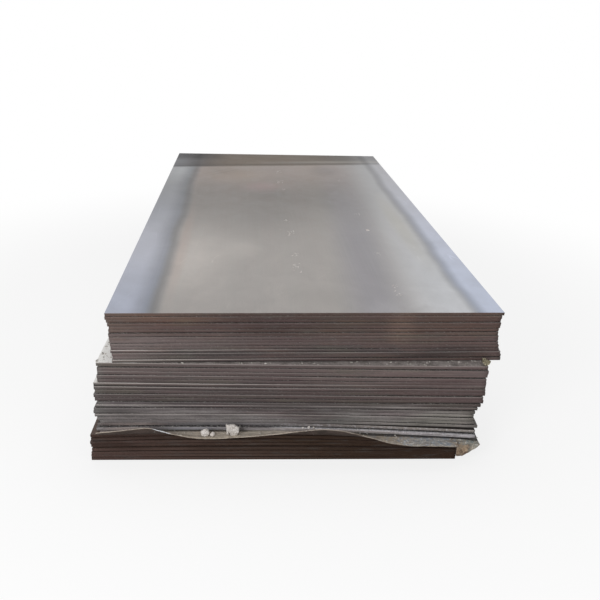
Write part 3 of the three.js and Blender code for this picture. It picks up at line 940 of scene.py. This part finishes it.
def middle_surface():
    """Points of the bent middle surface, one row of the list for each row of the sheet."""
    lift = smooth_run(EDGE_LIFTS, columns / SHEET_WIDTH) / 1000
    drop = TAB_DROP * np.interp(columns, (TAB_TEAR, TAB_TIP, half), (0.9, 1, 0))
    drop = drop + 0.002 * rough(columns, 3, 0.012)
    drop = np.where(columns > TAB_TEAR, np.clip(drop, 0, None), 0)
    over_side = np.clip(1 - (half - columns) / CORNER_REACH, 0, 1) ** 2
    # Each unevenness is a depth times noise, whose salt picks the pattern and whose size spreads it.
    nicks = 0.0007 * rough(columns, 8, 0.03) + 0.0006 * rough(columns, 2, 0.007)
    torn = np.where(columns > TAB_TEAR, 0.003 * rough(columns, 5, 0.009), 0)
    inside = np.clip(columns, RIM_MARGIN - half, half - RIM_MARGIN)
    points = np.empty((len(rows), len(columns), 3))
    for r, back in enumerate(rows):
        free = max(0, 1 - back / FREE_STRIP)
        hinge = max(0, 1 - back / TAB_HINGE)
        over_front = max(0, 1 - back / CORNER_REACH)
        probe = min(max(back, FREE_STRIP + PAST_STRIP), SHEET_LENGTH - RIM_MARGIN)
        droop = CORNER_DROOP * over_side * (over_front - max(0, 1 - probe / CORNER_REACH))
        height = np.array([gripped_height(x, probe - SHEET_LENGTH / 2) for x in inside])
        ripple = 0.0011 * rough(columns, back * 14, 0.05) * min(1, free * 3) * free**0.3 if free else 0
        y = back - SHEET_LENGTH / 2 + 0.45 * drop * hinge + CORNER_FLARE * over_side * over_front
        y = y + (nicks + torn) * max(0, 1 - back / NICK_REACH)
        px, py = in_stack(sheet_centre, SHEET_TURN, columns, y)
        points[r, :, 0], points[r, :, 1] = px, py
        points[r, :, 2] = height + lift * free**STRIP_POWER + ripple - drop * hinge**1.2 - droop
    return points


middle = middle_surface()
print("middle surface spans z", round(middle[..., 2].min(), 3), "to", round(middle[..., 2].max(), 3))

# %% [markdown]
# ## Giving the sheet its wall
# The middle surface gets half the wall on each side along its own normal, so the sheet stays
# equally thin where it hangs steeply. The tear beside the tab is a strip of cells left out; every
# cell border without a neighbour gets a narrow wall, which closes the solid there and at the rim.


# %% Close the sheet
def walled(name, middle, wall, tear, keep, finishes):
    """A closed thin solid from a grid of middle points. keep says which cells are there."""
    n_rows, n_columns, _ = middle.shape
    halves = np.split(middle, [tear + 1], axis=1)
    along_x = np.concatenate([np.gradient(part, axis=1) for part in halves], axis=1)
    normal = np.cross(along_x, np.gradient(middle, axis=0))
    normal /= np.linalg.norm(normal, axis=2, keepdims=True)
    skins = middle + normal * wall / 2, middle - normal * wall / 2
    points = np.concatenate([skin.reshape(-1, 3) for skin in skins])
    under = n_rows * n_columns
    faces, kinds = [], []
    for r in range(n_rows - 1):
        for c in range(n_columns - 1):
            if not keep(r, c):
                continue
            a, b = r * n_columns + c, r * n_columns + c + 1
            d, e = a + n_columns, b + n_columns
            faces += [(a, b, e, d), (a + under, d + under, e + under, b + under)]
            kinds += [0, 1]
            sides = ((r - 1, c), a, b), ((r, c + 1), b, e), ((r + 1, c), e, d), ((r, c - 1), d, a)
            for near, first, second in sides:
                inside = 0 <= near[0] < n_rows - 1 and 0 <= near[1] < n_columns - 1 and keep(*near)
                if not inside:
                    faces.append((first + under, second + under, second, first))
                    kinds.append(2)
    mesh = bpy.data.meshes.new(name)
    mesh.from_pydata(points.tolist(), [], faces)
    for finish in finishes:
        mesh.materials.append(finish)
    mesh.polygons.foreach_set("material_index", kinds)
    mesh.polygons.foreach_set("use_smooth", [kind < 2 for kind in kinds])
    return placed(name, mesh)


print("walled helper ready")

# %% [markdown]
# ## The finishes of the sheet
# Its top is dusty: tan along the buckles, pinkish rust film at the left, and grey scale with white
# and bluish specks at the right, up to a rusty patch at the torn tab; painted shade darkens the
# corner under the lot above. Its underside is dark brown rust, darkened further as painted shade,
# and its cut rim is a thin lighter line with a painted highlight on the left buckle's right slope.
# The colours run across the sheet as a ramp on its own stored place, and fine streaks follow the
# front edge.

# %% Mix the sheet's finishes
DUST_ACROSS = (
    (0.0, "#877c79"), (0.13, "#8d8380"), (0.2, "#b9ae9f"), (0.45, "#bbb1a3"), (0.58, "#c0b8b2"),
    (0.68, "#a49888"), (0.77, "#a79b8b"), (0.82, "#9c9a97"), (0.9, "#9d9e9f"), (0.945, "#9f9384"),
    (1.0, "#81847e"),
)


def sheet_top():
    finish = Finish("dusty_sheet_top", Metallic=0.15)
    across, back = finish.read("across"), finish.read("from_front")
    wander = finish.noise(9.0, shift=(2, 5, 1)).stretch(0.3, 0.7, -0.025, 0.025)
    colour = finish.ramp(across + wander, *DUST_ACROSS)
    # Creases and dust lines that follow the front edge, pinkish at the left.
    line_place = finish.get("ShaderNodeCombineXYZ", {0: across * 9.0, 1: back * 230.0})
    lines = finish.noise(1.0, roughness=0.6, where=line_place)
    colour = colour.tint("#b3a7a3", lines.mask(0.55, 0.68) * across.stretch(0.0, 0.3, 0.75, 0.4))
    colour = colour.tint("#5d5450", lines.mask(0.46, 0.36) * 0.65)
    # Dust lies thickest along the front edge, where the strip curls up.
    hem = back.mask(0.011, 0.005) * across.mask(0.14, 0.18)
    colour = colour.tint("#c8bca8", hem * across.stretch(0.3, 0.7, 0.55, 0.3))
    # White and bluish specks of lime and scale at the right, rust at the tab.
    right = across.mask(0.66, 0.76)
    speck = finish.noise(120.0, detail=2, roughness=0.7).mask(0.56, 0.66)
    fleck = finish.noise(70.0, detail=2, shift=(3, 1, 4)).mask(0.5, 0.62)
    colour = colour.tint("#83909f", fleck * right * 0.6)
    colour = colour.tint("#d2d0cc", speck * right.stretch(0, 1, 0.25, 0.8))
    tab = across.ridge(0.956, 0.01, 0.026) * back.mask(0.03, 0.014)
    scab = finish.noise(70.0, detail=4, roughness=0.7, shift=(2, 7, 5))
    rust = finish.mix(scab.mask(0.6, 0.4), "#b1977a", "#6a5341")
    colour = colour.tint(rust, tab * scab.stretch(0.35, 0.65, 1.0, 0.75))
    moss = across.mask(0.93, 0.99) * fleck.mask(0.1, 0.6)
    colour = colour.tint("#696d5c", moss * 0.45)
    # Painted shade darkens the corner under the lot above, in the trough and along the right half.
    shaded_stretches = across.mask(0.6, 0.7) + across.ridge(0.27, 0.07, 0.12)
    reach = across.stretch(0.84, 0.97, 0.0, 0.0068) - across.ridge(0.72, 0.025, 0.06) * 0.004
    corner = (finish.read("to_cover") + reach).mask(0.0105, 0.006)
    colour = colour.tint("#1d1917", corner * shaded_stretches * 0.85)
    pits = finish.noise(300.0, roughness=0.65)
    clumps = finish.noise(85.0, stretch=(0.6, 1.6, 1), detail=4, roughness=0.7, shift=(4, 4, 4))
    light = pits.stretch(0.3, 0.65, 0.8, 1.1) * clumps.stretch(0.35, 0.65, 0.78, 1.18)
    finish.wear("Base Color", colour.shade(light))
    finish.wear("Roughness", lines.stretch(0.3, 0.7, 0.85, 0.6))
    finish.bump(pits + lines * 1.5, 0.0009, 0.6)
    return finish.material


def sheet_under():
    finish = Finish("rusty_sheet_underside", Metallic=0.1, Roughness=0.85)
    patch = finish.noise(22.0, detail=5, roughness=0.65)
    pits = finish.noise(240.0)
    # The dark brown is rust, darkened further as painted shade.
    colour = finish.mix(patch.mask(0.35, 0.65), "#33271f", "#4a3c35")
    finish.wear("Base Color", colour.shade(pits.stretch(0.3, 0.7, 0.85, 1.1)))
    finish.bump(pits, 0.0006, 0.6)
    return finish.material


def sheet_rim():
    finish = Finish("cut_sheet_rim", Metallic=0.3, Roughness=0.5)
    patch = finish.noise(60.0, detail=4, roughness=0.65)
    colour = finish.mix(patch.mask(0.42, 0.62), "#a2988c", "#7a6e64")
    # A painted highlight lights the left buckle's right slope in pale bluish white.
    rim_highlight = finish.read("across").ridge(0.166, 0.014, 0.014)
    finish.wear("Base Color", colour.tint("#d3d5da", rim_highlight * 0.9))
    finish.bump(finish.noise(500.0, detail=2), 0.0004, 0.5)
    return finish.material


print("sheet finishes ready")

# %% Make the sheet
tear_cell = int(np.searchsorted(columns, TAB_TEAR)) - 1
sheet = walled(
    "buckled_dusty_sheet",
    middle,
    SHEET_WALL,
    tear_cell,
    lambda r, c: not (c == tear_cell and rows[r] < TAB_HINGE),
    [sheet_top(), sheet_under(), sheet_rim()],
)
store(sheet, "across", np.tile((columns + half) / SHEET_WIDTH, 2 * len(rows)))
store(sheet, "from_front", np.tile(np.repeat(rows, len(columns)), 2))
store(sheet, "to_cover", to_cover(sheet, COVER_NODE))
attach(sheet, "root")
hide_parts(SHEET_NODE)
print("sheet faces:", len(sheet.data.polygons))

# %% [markdown]
# ## Lumps of lime
# Two broken lumps and a crumb of white lime or old mortar lie in the trough of the sheet. A broken
# lump is flat-faced where it split and pitted where it weathered. Here a few rough points are
# wrapped in a convex hull for the flat faces, several hulls are melted into one skin by a voxel
# remesh, and noise pits that skin. Each lump is set down on the sheet by a ray from above.

# %% Make the lumps
VOXEL, SINK = 0.0012, 0.0015
LUMP_SEED, CHIP_SEED, CAKE_SEED = 7, 17, 31
PITS_PER_METRE, PIT_DEPTH = 260, 0.0008


def lime_finish(name, clean, stained):
    finish = Finish(name, Roughness=0.92)
    stain = finish.noise(90.0, detail=5, roughness=0.7)
    pits = finish.noise(330.0, roughness=0.7)
    colour = finish.mix(stain.mask(0.4, 0.66), clean, stained)
    finish.wear("Base Color", colour.tint("#a29993", pits.mask(0.46, 0.36)))
    finish.bump(pits + stain, 0.0012, 0.8)
    return finish.material


def hull_points(centre, size, count, chance):
    """Rough points on an ellipsoid that has been pushed towards a box."""
    away = chance.normal(size=(count, 3))
    boxy, round_off = np.abs(away).max(axis=1, keepdims=True), np.linalg.norm(away, axis=1, keepdims=True)
    away /= boxy**0.6 * round_off**0.4
    return np.array(centre) + away * np.array(size) / 2


def lump(name, carrier_tree, place, turn, hulls, seed, finish):
    """One broken lump of several hulls, standing on the carrier at a place of the plan."""
    chance = np.random.default_rng(seed)
    draft = bmesh.new()
    for centre, size, count in hulls:
        ring = [draft.verts.new(point) for point in hull_points(centre, size, count, chance)]
        wrapped = bmesh.ops.convex_hull(draft, input=ring)
        loose = wrapped["geom_interior"] + wrapped["geom_unused"]
        loose = {v for v in loose if isinstance(v, bmesh.types.BMVert)}
        bmesh.ops.delete(draft, geom=list(loose), context="VERTS")
    mesh = bpy.data.meshes.new(name)
    draft.to_mesh(mesh)
    draft.free()
    piece = placed(name, mesh)
    melt = piece.modifiers.new("melt", "REMESH")
    melt.mode, melt.voxel_size = "VOXEL", VOXEL
    plain_mesh(piece, name)
    melted = piece.data
    normals = [v.normal.copy() for v in melted.vertices]
    for v, normal in zip(melted.vertices, normals):
        pit = noise.fractal(v.co * PITS_PER_METRE + Vector((seed, 0, 0)), 1.0, 2.0, 3)
        v.co += normal * (PIT_DEPTH * pit)
    lowest = min(v.co.z for v in melted.vertices)
    height = height_at(carrier_tree, *place, HIGH_ABOVE, -1) - lowest - SINK
    melted.transform(Matrix.Translation((*place, height)) @ Matrix.Rotation(turn, 4, "Z"))
    melted.materials.clear()
    melted.materials.append(finish)
    melted.polygons.foreach_set("use_smooth", [False] * len(melted.polygons))
    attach(piece, "root")
    return piece


sheet_tree = tree_of(sheet)
lime = lime_finish("pitted_lime", "#f4efea", "#cbc3bd")
dull_lime = lime_finish("dull_pitted_lime", "#e1dcd7", "#b8b1ab")
# Each lump is its place on the sheet from its middle line and its front edge, its turn, its finish
# and its hulls. Each hull is its centre, its size and its number of points.
LUMPS = {
    "lime_lump": ((-0.2802, 0.017), 0.3, dull_lime, [
        ((0, 0, 0.0145), (0.0275, 0.024, 0.0175), 70),
        ((0.001, 0, 0.0145), (0.0185, 0.018, 0.027), 60),
        ((0, 0, 0.0145), (0.0235, 0.021, 0.0225), 60),
        ((0.004, 0, 0.004), (0.015, 0.012, 0.008), 20),
    ]),
    "lime_crumb": ((-0.256, 0.019), 0.9, lime, [
        ((0, 0, 0.007), (0.0165, 0.014, 0.010), 50),
        ((0.001, 0, 0.007), (0.012, 0.011, 0.0145), 40),
    ]),
    "lime_block": ((-0.193, 0.0235), -0.1, dull_lime, [
        ((-0.001, 0, 0.022), (0.035, 0.024, 0.023), 60),
        ((0.0125, 0, 0.0195), (0.021, 0.020, 0.0225), 50),
        ((-0.018, 0.001, 0.034), (0.006, 0.007, 0.016), 18),
        ((-0.002, 0.001, 0.0335), (0.027, 0.016, 0.011), 30),
        ((-0.0145, 0, 0.007), (0.009, 0.011, 0.016), 16),
        ((0.006, 0, 0.008), (0.026, 0.016, 0.017), 30),
        ((0.009, 0, 0.0285), (0.02, 0.016, 0.0115), 24),
    ]),
}
for number, (name, ((x, y), turn, finish, hulls)) in enumerate(LUMPS.items()):
    place = in_stack(sheet_centre, SHEET_TURN, x, y - SHEET_LENGTH / 2)
    piece = lump(name, sheet_tree, place, turn, hulls, LUMP_SEED + number, finish)
    print(name, "faces:", len(piece.data.polygons))

# %% [markdown]
# ## Chips of lime on the pair ledge
# Three chips broke off the lumps and lie on the narrow ledge between the two plates above the
# sheet. They are made as the lumps are, from one hull each.


# %% Make the chips
def on_plate(node, x, y):
    """A place on a plate, from its middle line across and from its front edge back."""
    plan = plan_of(node)
    return in_stack(plan["centre"], plan["turn"], x, y - plan["length"] / 2)


CHIP_POINTS = 18
CHIPS = {
    "lime_chip_left": ((0.050, 0.004), 0.4, (0.009, 0.006, 0.006)),
    "lime_chip_middle": ((0.069, 0.005), 1.4, (0.010, 0.008, 0.009)),
    "lime_chip_right": ((0.086, 0.0045), 2.2, (0.009, 0.006, 0.007)),
}
ledge_tree = tree_of(pair_ledge)
for number, (name, (place, turn, size)) in enumerate(CHIPS.items()):
    hulls = [((0, 0, size[2] / 2), size, CHIP_POINTS)]
    stand = on_plate(COVER_NODE, *place)
    piece = lump(name, ledge_tree, stand, turn, hulls, CHIP_SEED + number, lime)
    print(name, "faces:", len(piece.data.polygons))

# %% [markdown]
# ## A cake of dirt on the ledge
# Mud that was carried in under a sling has dried at the right end of the ledge between the top two
# lots, half on the ledge and half over its corner. It is a lump like the others, softer in outline
# and made of yellowish dirt.


# %% Make the dirt cake
def dirt_finish():
    finish = Finish("dried_mud", Roughness=0.95)
    patch = finish.noise(110.0, detail=4, roughness=0.7)
    grains = finish.noise(380.0, roughness=0.7)
    colour = finish.mix(patch.mask(0.4, 0.62), "#6f6853", "#a8a088")
    colour = colour.tint("#332f28", grains.mask(0.44, 0.34))
    finish.wear("Base Color", colour.tint("#cdc9bb", grains.mask(0.62, 0.7)))
    finish.bump(grains, 0.0012, 0.8)
    return finish.material


LEDGE_NODE = "thick_bundle_plate_01"
CAKE_FROM_SIDE, CAKE_FROM_FRONT = 0.004, 0.012
CAKE_HULLS = [
    ((0, 0, 0.006), (0.026, 0.034, 0.012), 22),
    ((0.009, 0.002, 0.003), (0.014, 0.026, 0.016), 16),
    ((-0.004, 0.01, 0.009), (0.016, 0.014, 0.012), 12),
]
upper_ledge, ledge_plan = sheared[LEDGE_NODE], plan_of(LEDGE_NODE)
cake_place = on_plate(LEDGE_NODE, ledge_plan["width"] / 2 - CAKE_FROM_SIDE, CAKE_FROM_FRONT)
cake_turn, upper_tree = ledge_plan["turn"], tree_of(upper_ledge)
dirt = lump("dirt_cake", upper_tree, cake_place, cake_turn, CAKE_HULLS, CAKE_SEED, dirt_finish())
print("dirt cake faces:", len(dirt.data.polygons))

# %% [markdown]
# ## Settled grit
# Grit lies wherever a plate's face is open to the sky. Strewing it by hand would put crumbs inside
# the stack, so a rule does it: it scatters points over a plate's upward faces, sends a ray up from
# each, drops the points whose ray meets the lot above, and sets an uneven crumb on the rest. Small
# crumbs are far commoner than large ones, so the size follows a random number raised to a power.

# %% Write the grit rule
FULL_TURN = 6.28
FACING_UP, START_ABOVE, LOOK_UP, FLATNESS = 0.6, 0.001, 3.0, 0.62
GRIT_SEED = 11
settled_grit = Rule(
    "settled_grit",
    {
        "Cover": ("Object", None),
        "Density": ("Float", 4000.0),
        "Smallest": ("Float", 0.0006),
        "Largest": ("Float", 0.004),
        "Reach": ("Float", 1.0),
        "Seed": ("Int", 1),
        "Crumb finish": ("Material", None),
    },
)


def write_settled_grit(rule):
    given = rule.given
    upward = rule.split(rule.get("GeometryNodeInputNormal"))[2] > FACING_UP
    feeds = {"Mesh": given["Geometry"], "Selection": upward}
    feeds |= {"Density": given["Density"], "Seed": given["Seed"]}
    strewn = rule.get("GeometryNodeDistributePointsOnFaces", feeds, "Points")
    cover = rule.get("GeometryNodeObjectInfo", {"Object": given["Cover"]}, "Geometry")
    start = rule.blend("ADD", rule.get("GeometryNodeInputPosition"), (0, 0, START_ABOVE))
    covered = rule.shoot(cover, start, (0, 0, 1), LOOK_UP, "Is Hit")
    far = rule.get("GeometryNodeProximity", {"Geometry": cover}, "Distance") > given["Reach"]
    gone = rule.get("FunctionNodeBooleanMath", {0: covered, 1: far}, operation="OR")
    open_points = rule.get("GeometryNodeDeleteGeometry", {"Geometry": strewn, "Selection": gone})
    share = rule.calc("POWER", rule.chance(0.0, 1.0, 3), 5.0)
    size = given["Smallest"] + share * (given["Largest"] - given["Smallest"])
    wide, long = rule.chance(0.7, 1.3, 4), rule.chance(0.7, 1.3, 5)
    scale = rule.vector(size * wide, size * long, size * FLATNESS)
    lean, tilt = rule.chance(-0.5, 0.5, 6), rule.chance(-0.5, 0.5, 7)
    spin = rule.vector(lean, tilt, rule.chance(0.0, FULL_TURN, 8))
    crumb = rule.rough_ball(1.1, (1.5, 1.5, 1.5))
    rule.lay(open_points, crumb, spin, scale, given["Crumb finish"])


write_settled_grit(settled_grit)
print("grit rule:", len(settled_grit.tree.nodes), "nodes")


# %% Strew the grit
def grit_finish(name, pale, dark):
    finish = Finish(name, Roughness=0.9)
    finish.wear("Base Color", finish.mix(finish.noise(150.0, detail=2).mask(0.42, 0.6), pale, dark))
    finish.bump(finish.noise(900.0, detail=2), 0.0005, 0.6)
    return finish.material


pale_grit = grit_finish("pale_lime_grit", "#c9c5bf", "#8d8881")
rust_grit = grit_finish("rusty_scale_grit", "#9a8f83", "#5e4f46")
# Each row is the piece that carries the grit, the plate above it, the crumbs on a square metre, the
# largest crumb, how far from the plate above they may lie, and their finish.
GRIT = {
    "grit_on_upper_ledge": (upper_ledge, "top_bundle_plate_15", 9000, 0.0042, 1.0, pale_grit),
    "grit_on_left_step": (
        sheared["thick_bundle_plate_06"], "thick_bundle_plate_05", 12000, 0.003, 1.0, pale_grit
    ),
    "grit_on_sheet": (sheet, COVER_NODE, 5000, 0.0038, 0.3, pale_grit),
    "rust_on_sheet": (sheet, COVER_NODE, 4000, 0.0028, 0.3, rust_grit),
    "grit_on_pair_ledge": (pair_ledge, "pair_bundle_plate_01", 9000, 0.0022, 1.0, pale_grit),
}
for number, (name, (carrier, cover, density, largest, reach, finish)) in enumerate(GRIT.items()):
    piece = make_by(
        settled_grit,
        name,
        carrier.data.copy(),
        cover=sheared[cover],
        density=float(density),
        largest=largest,
        reach=reach,
        seed=GRIT_SEED + number,
        crumb_finish=finish,
    )
    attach(piece, "root")
    print(name, "crumb faces:", len(piece.data.polygons))

# %% [markdown]
# ## Chalk flecks
# The store marks the top plate with chalk, and what is left of the marks is two rows of loose
# flecks down its length and one thicker scab. Painting them on the finish would look flat from
# close by. Instead a rule takes one point for each mark, lays several flecks round it, drops every
# fleck on the plate by a ray and keeps them all thin, uneven and turned at random.

# %% Write the chalk rule
FLECK_THICKNESS, CHALK_SEED = 0.0003, 40
chalk_flecks = Rule(
    "chalk_flecks",
    {
        "Plate": ("Object", None),
        "Flecks per mark": ("Int", 8),
        "Spread": ("Float", 0.012),
        "Stroke": ("Float", 0.05),
        "Largest": ("Float", 0.005),
        "Seed": ("Int", 1),
        "Chalk finish": ("Material", None),
    },
)


def write_chalk_flecks(rule):
    given = rule.given
    feeds = {"Geometry": given["Geometry"], "Amount": given["Flecks per mark"]}
    many = rule.get("GeometryNodeDuplicateElements", feeds, "Geometry", domain="POINT")

    def chance(low, high, offset):
        return rule.chance(low, high, given["Seed"] + float(offset))

    x, y, _ = rule.split(rule.get("GeometryNodeInputPosition"))
    x += chance(-1.0, 1.0, 1) * given["Spread"]
    y += chance(-1.0, 1.0, 2) * given["Stroke"]
    plate = rule.get("GeometryNodeObjectInfo", {"Object": given["Plate"]}, "Geometry")
    landed = rule.shoot(plate, rule.vector(x, y, HIGH_ABOVE), (0, 0, -1), RAY, "Hit Position")
    dropped = rule.get("GeometryNodeSetPosition", {"Geometry": many, "Position": landed})
    size = rule.calc("POWER", chance(0.3, 1.0, 3), 2.0) * given["Largest"]
    scale = rule.vector(size * 0.5, size * chance(0.5, 1.4, 4), FLECK_THICKNESS)
    spin = rule.vector(0.0, 0.0, chance(0.0, FULL_TURN, 5))
    rule.lay(dropped, rule.rough_ball(1.2, (1.8, 1.8, 0.4)), spin, scale, given["Chalk finish"])


write_chalk_flecks(chalk_flecks)
print("chalk rule:", len(chalk_flecks.tree.nodes), "nodes")

# %% Lay the chalk flecks
# Each row is its place across the top plate, its marks' places along it, and then the flecks of a
# mark: how far they stray to the sides and lengthwise, the largest one's size, and their number.
CHALK_MARKS = {
    "chalk_row_in_the_middle": (
        0.49, (0.15, 0.17, 0.22, 0.32, 0.33, 0.4, 0.635, 0.7, 0.79, 0.81), 0.017, 0.028, 0.0058, 9
    ),
    "chalk_row_at_the_right": (0.753, (0.065, 0.093, 0.227, 0.452, 0.717), 0.011, 0.02, 0.0058, 6),
    "chalk_scab_at_the_right": (0.76, (0.35,), 0.004, 0.008, 0.013, 6),
}
chalk = Finish("chalk_dust", Roughness=0.95)
chalk.wear("Base Color", chalk.mix(chalk.noise(60.0).mask(0.4, 0.6), "#bcb3b0", "#d8d3cf"))
top_plan = plan_of("top_bundle_plate_01")
for number, (name, (across, marks, spread, stroke, largest, flecks)) in enumerate(CHALK_MARKS.items()):
    places = []
    for along in marks:
        x, y = (across - 0.5) * top_plan["width"], (along - 0.5) * top_plan["length"]
        places.append((*in_stack(top_plan["centre"], top_plan["turn"], x, y), 1.0))
    mesh = bpy.data.meshes.new(name)
    mesh.from_pydata(places, [], [])
    piece = make_by(
        chalk_flecks,
        name,
        mesh,
        plate=sheared["top_bundle_plate_01"],
        flecks_per_mark=flecks,
        spread=spread,
        stroke=stroke,
        largest=largest,
        seed=CHALK_SEED + number * 10,
        chalk_finish=chalk.material,
    )
    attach(piece, "root")
    print(name, "faces:", len(piece.data.polygons))

# %% [markdown]
# ## Floor, sky and lamps
# A pale floor and a white sky give the plain light of a studio. The camera sees both at full
# white through Light Path, while the light that they give the steel stays lower, so that no
# colour washes out. Close to the stack the floor shows some of its own lit paint, which keeps the
# shadow; further out it fades into plain white, so that no horizon line is left.

# %% Build the stage
FLOOR_GLOW, SKY_LIGHT = 0.8, 0.45
FLOOR_REACH, FADE_FROM, FADE_TO = 20, 1.2, 2.9
FLOOR_PAINT, WHITE = (0.82, 0.82, 0.82, 1), (1, 1, 1, 1)


def cleared(thing):
    """A bench on the emptied node tree of a material or a world."""
    thing.use_nodes = True
    thing.node_tree.nodes.clear()
    return Bench(thing.node_tree)


def stage_floor():
    corners = [(x * FLOOR_REACH, y * FLOOR_REACH, 0) for x, y in ((-1, -1), (1, -1), (1, 1), (-1, 1))]
    mesh = bpy.data.meshes.new("studio_floor")
    mesh.from_pydata(corners, [], [(0, 1, 2, 3)])
    material = bpy.data.materials.new("pale_floor")
    bench = cleared(material)
    place = bench.get("ShaderNodeTexCoord", out="Object")
    distance = bench.get("ShaderNodeVectorMath", {0: place}, "Value", operation="LENGTH")
    feeds = {"Value": distance, "From Min": FADE_FROM, "From Max": FADE_TO}
    feeds |= {"To Min": FLOOR_GLOW, "To Max": 1.0}
    fade = bench.get("ShaderNodeMapRange", feeds, interpolation_type="SMOOTHSTEP")
    seen = bench.get("ShaderNodeLightPath", out="Is Camera Ray") * fade
    paint = bench.get("ShaderNodeBsdfDiffuse", {"Color": FLOOR_PAINT})
    glow = bench.get("ShaderNodeEmission", {"Color": WHITE})
    mixed = bench.get("ShaderNodeMixShader", {0: seen, 1: paint, 2: glow})
    bench.add("ShaderNodeOutputMaterial", {"Surface": mixed})
    mesh.materials.append(material)
    floor = placed("studio_floor", mesh)


def white_sky():
    world = bpy.data.worlds.new("white_sky")
    bench = cleared(world)
    rays = bench.add("ShaderNodeLightPath").outputs
    seen = Signal(bench, rays["Is Camera Ray"])
    for ray in ("Is Glossy Ray", "Is Transmission Ray"):
        seen = bench.calc("MAXIMUM", seen, Signal(bench, rays[ray]))
    feeds = {"Color": WHITE, "Strength": seen.stretch(0.0, 1.0, SKY_LIGHT, 1.0)}
    bench.add("ShaderNodeOutputWorld", {"Surface": bench.get("ShaderNodeBackground", feeds)})
    bpy.context.scene.world = world


def softbox(name, stand, aim, size, power):
    """A square lamp of a size in metres and a power in watts, turned to face a point."""
    lamp = placed(name, bpy.data.lights.new(name, "AREA"))
    lamp.data.shape, lamp.data.size, lamp.data.energy = "SQUARE", size, power
    lamp.location = stand
    lamp.rotation_euler = (Vector(aim) - Vector(stand)).to_track_quat("-Z", "Y").to_euler()


stage_floor()
white_sky()
softbox("left_softbox", (-2.2, -4.2, 2.2), (-0.1, -1.2, 0.3), 1.6, 80)
softbox("overhead_softbox", (0.3, 0.2, 4.6), (0, 0, 0.5), 3.0, 60)
print("floor, sky and two softboxes")
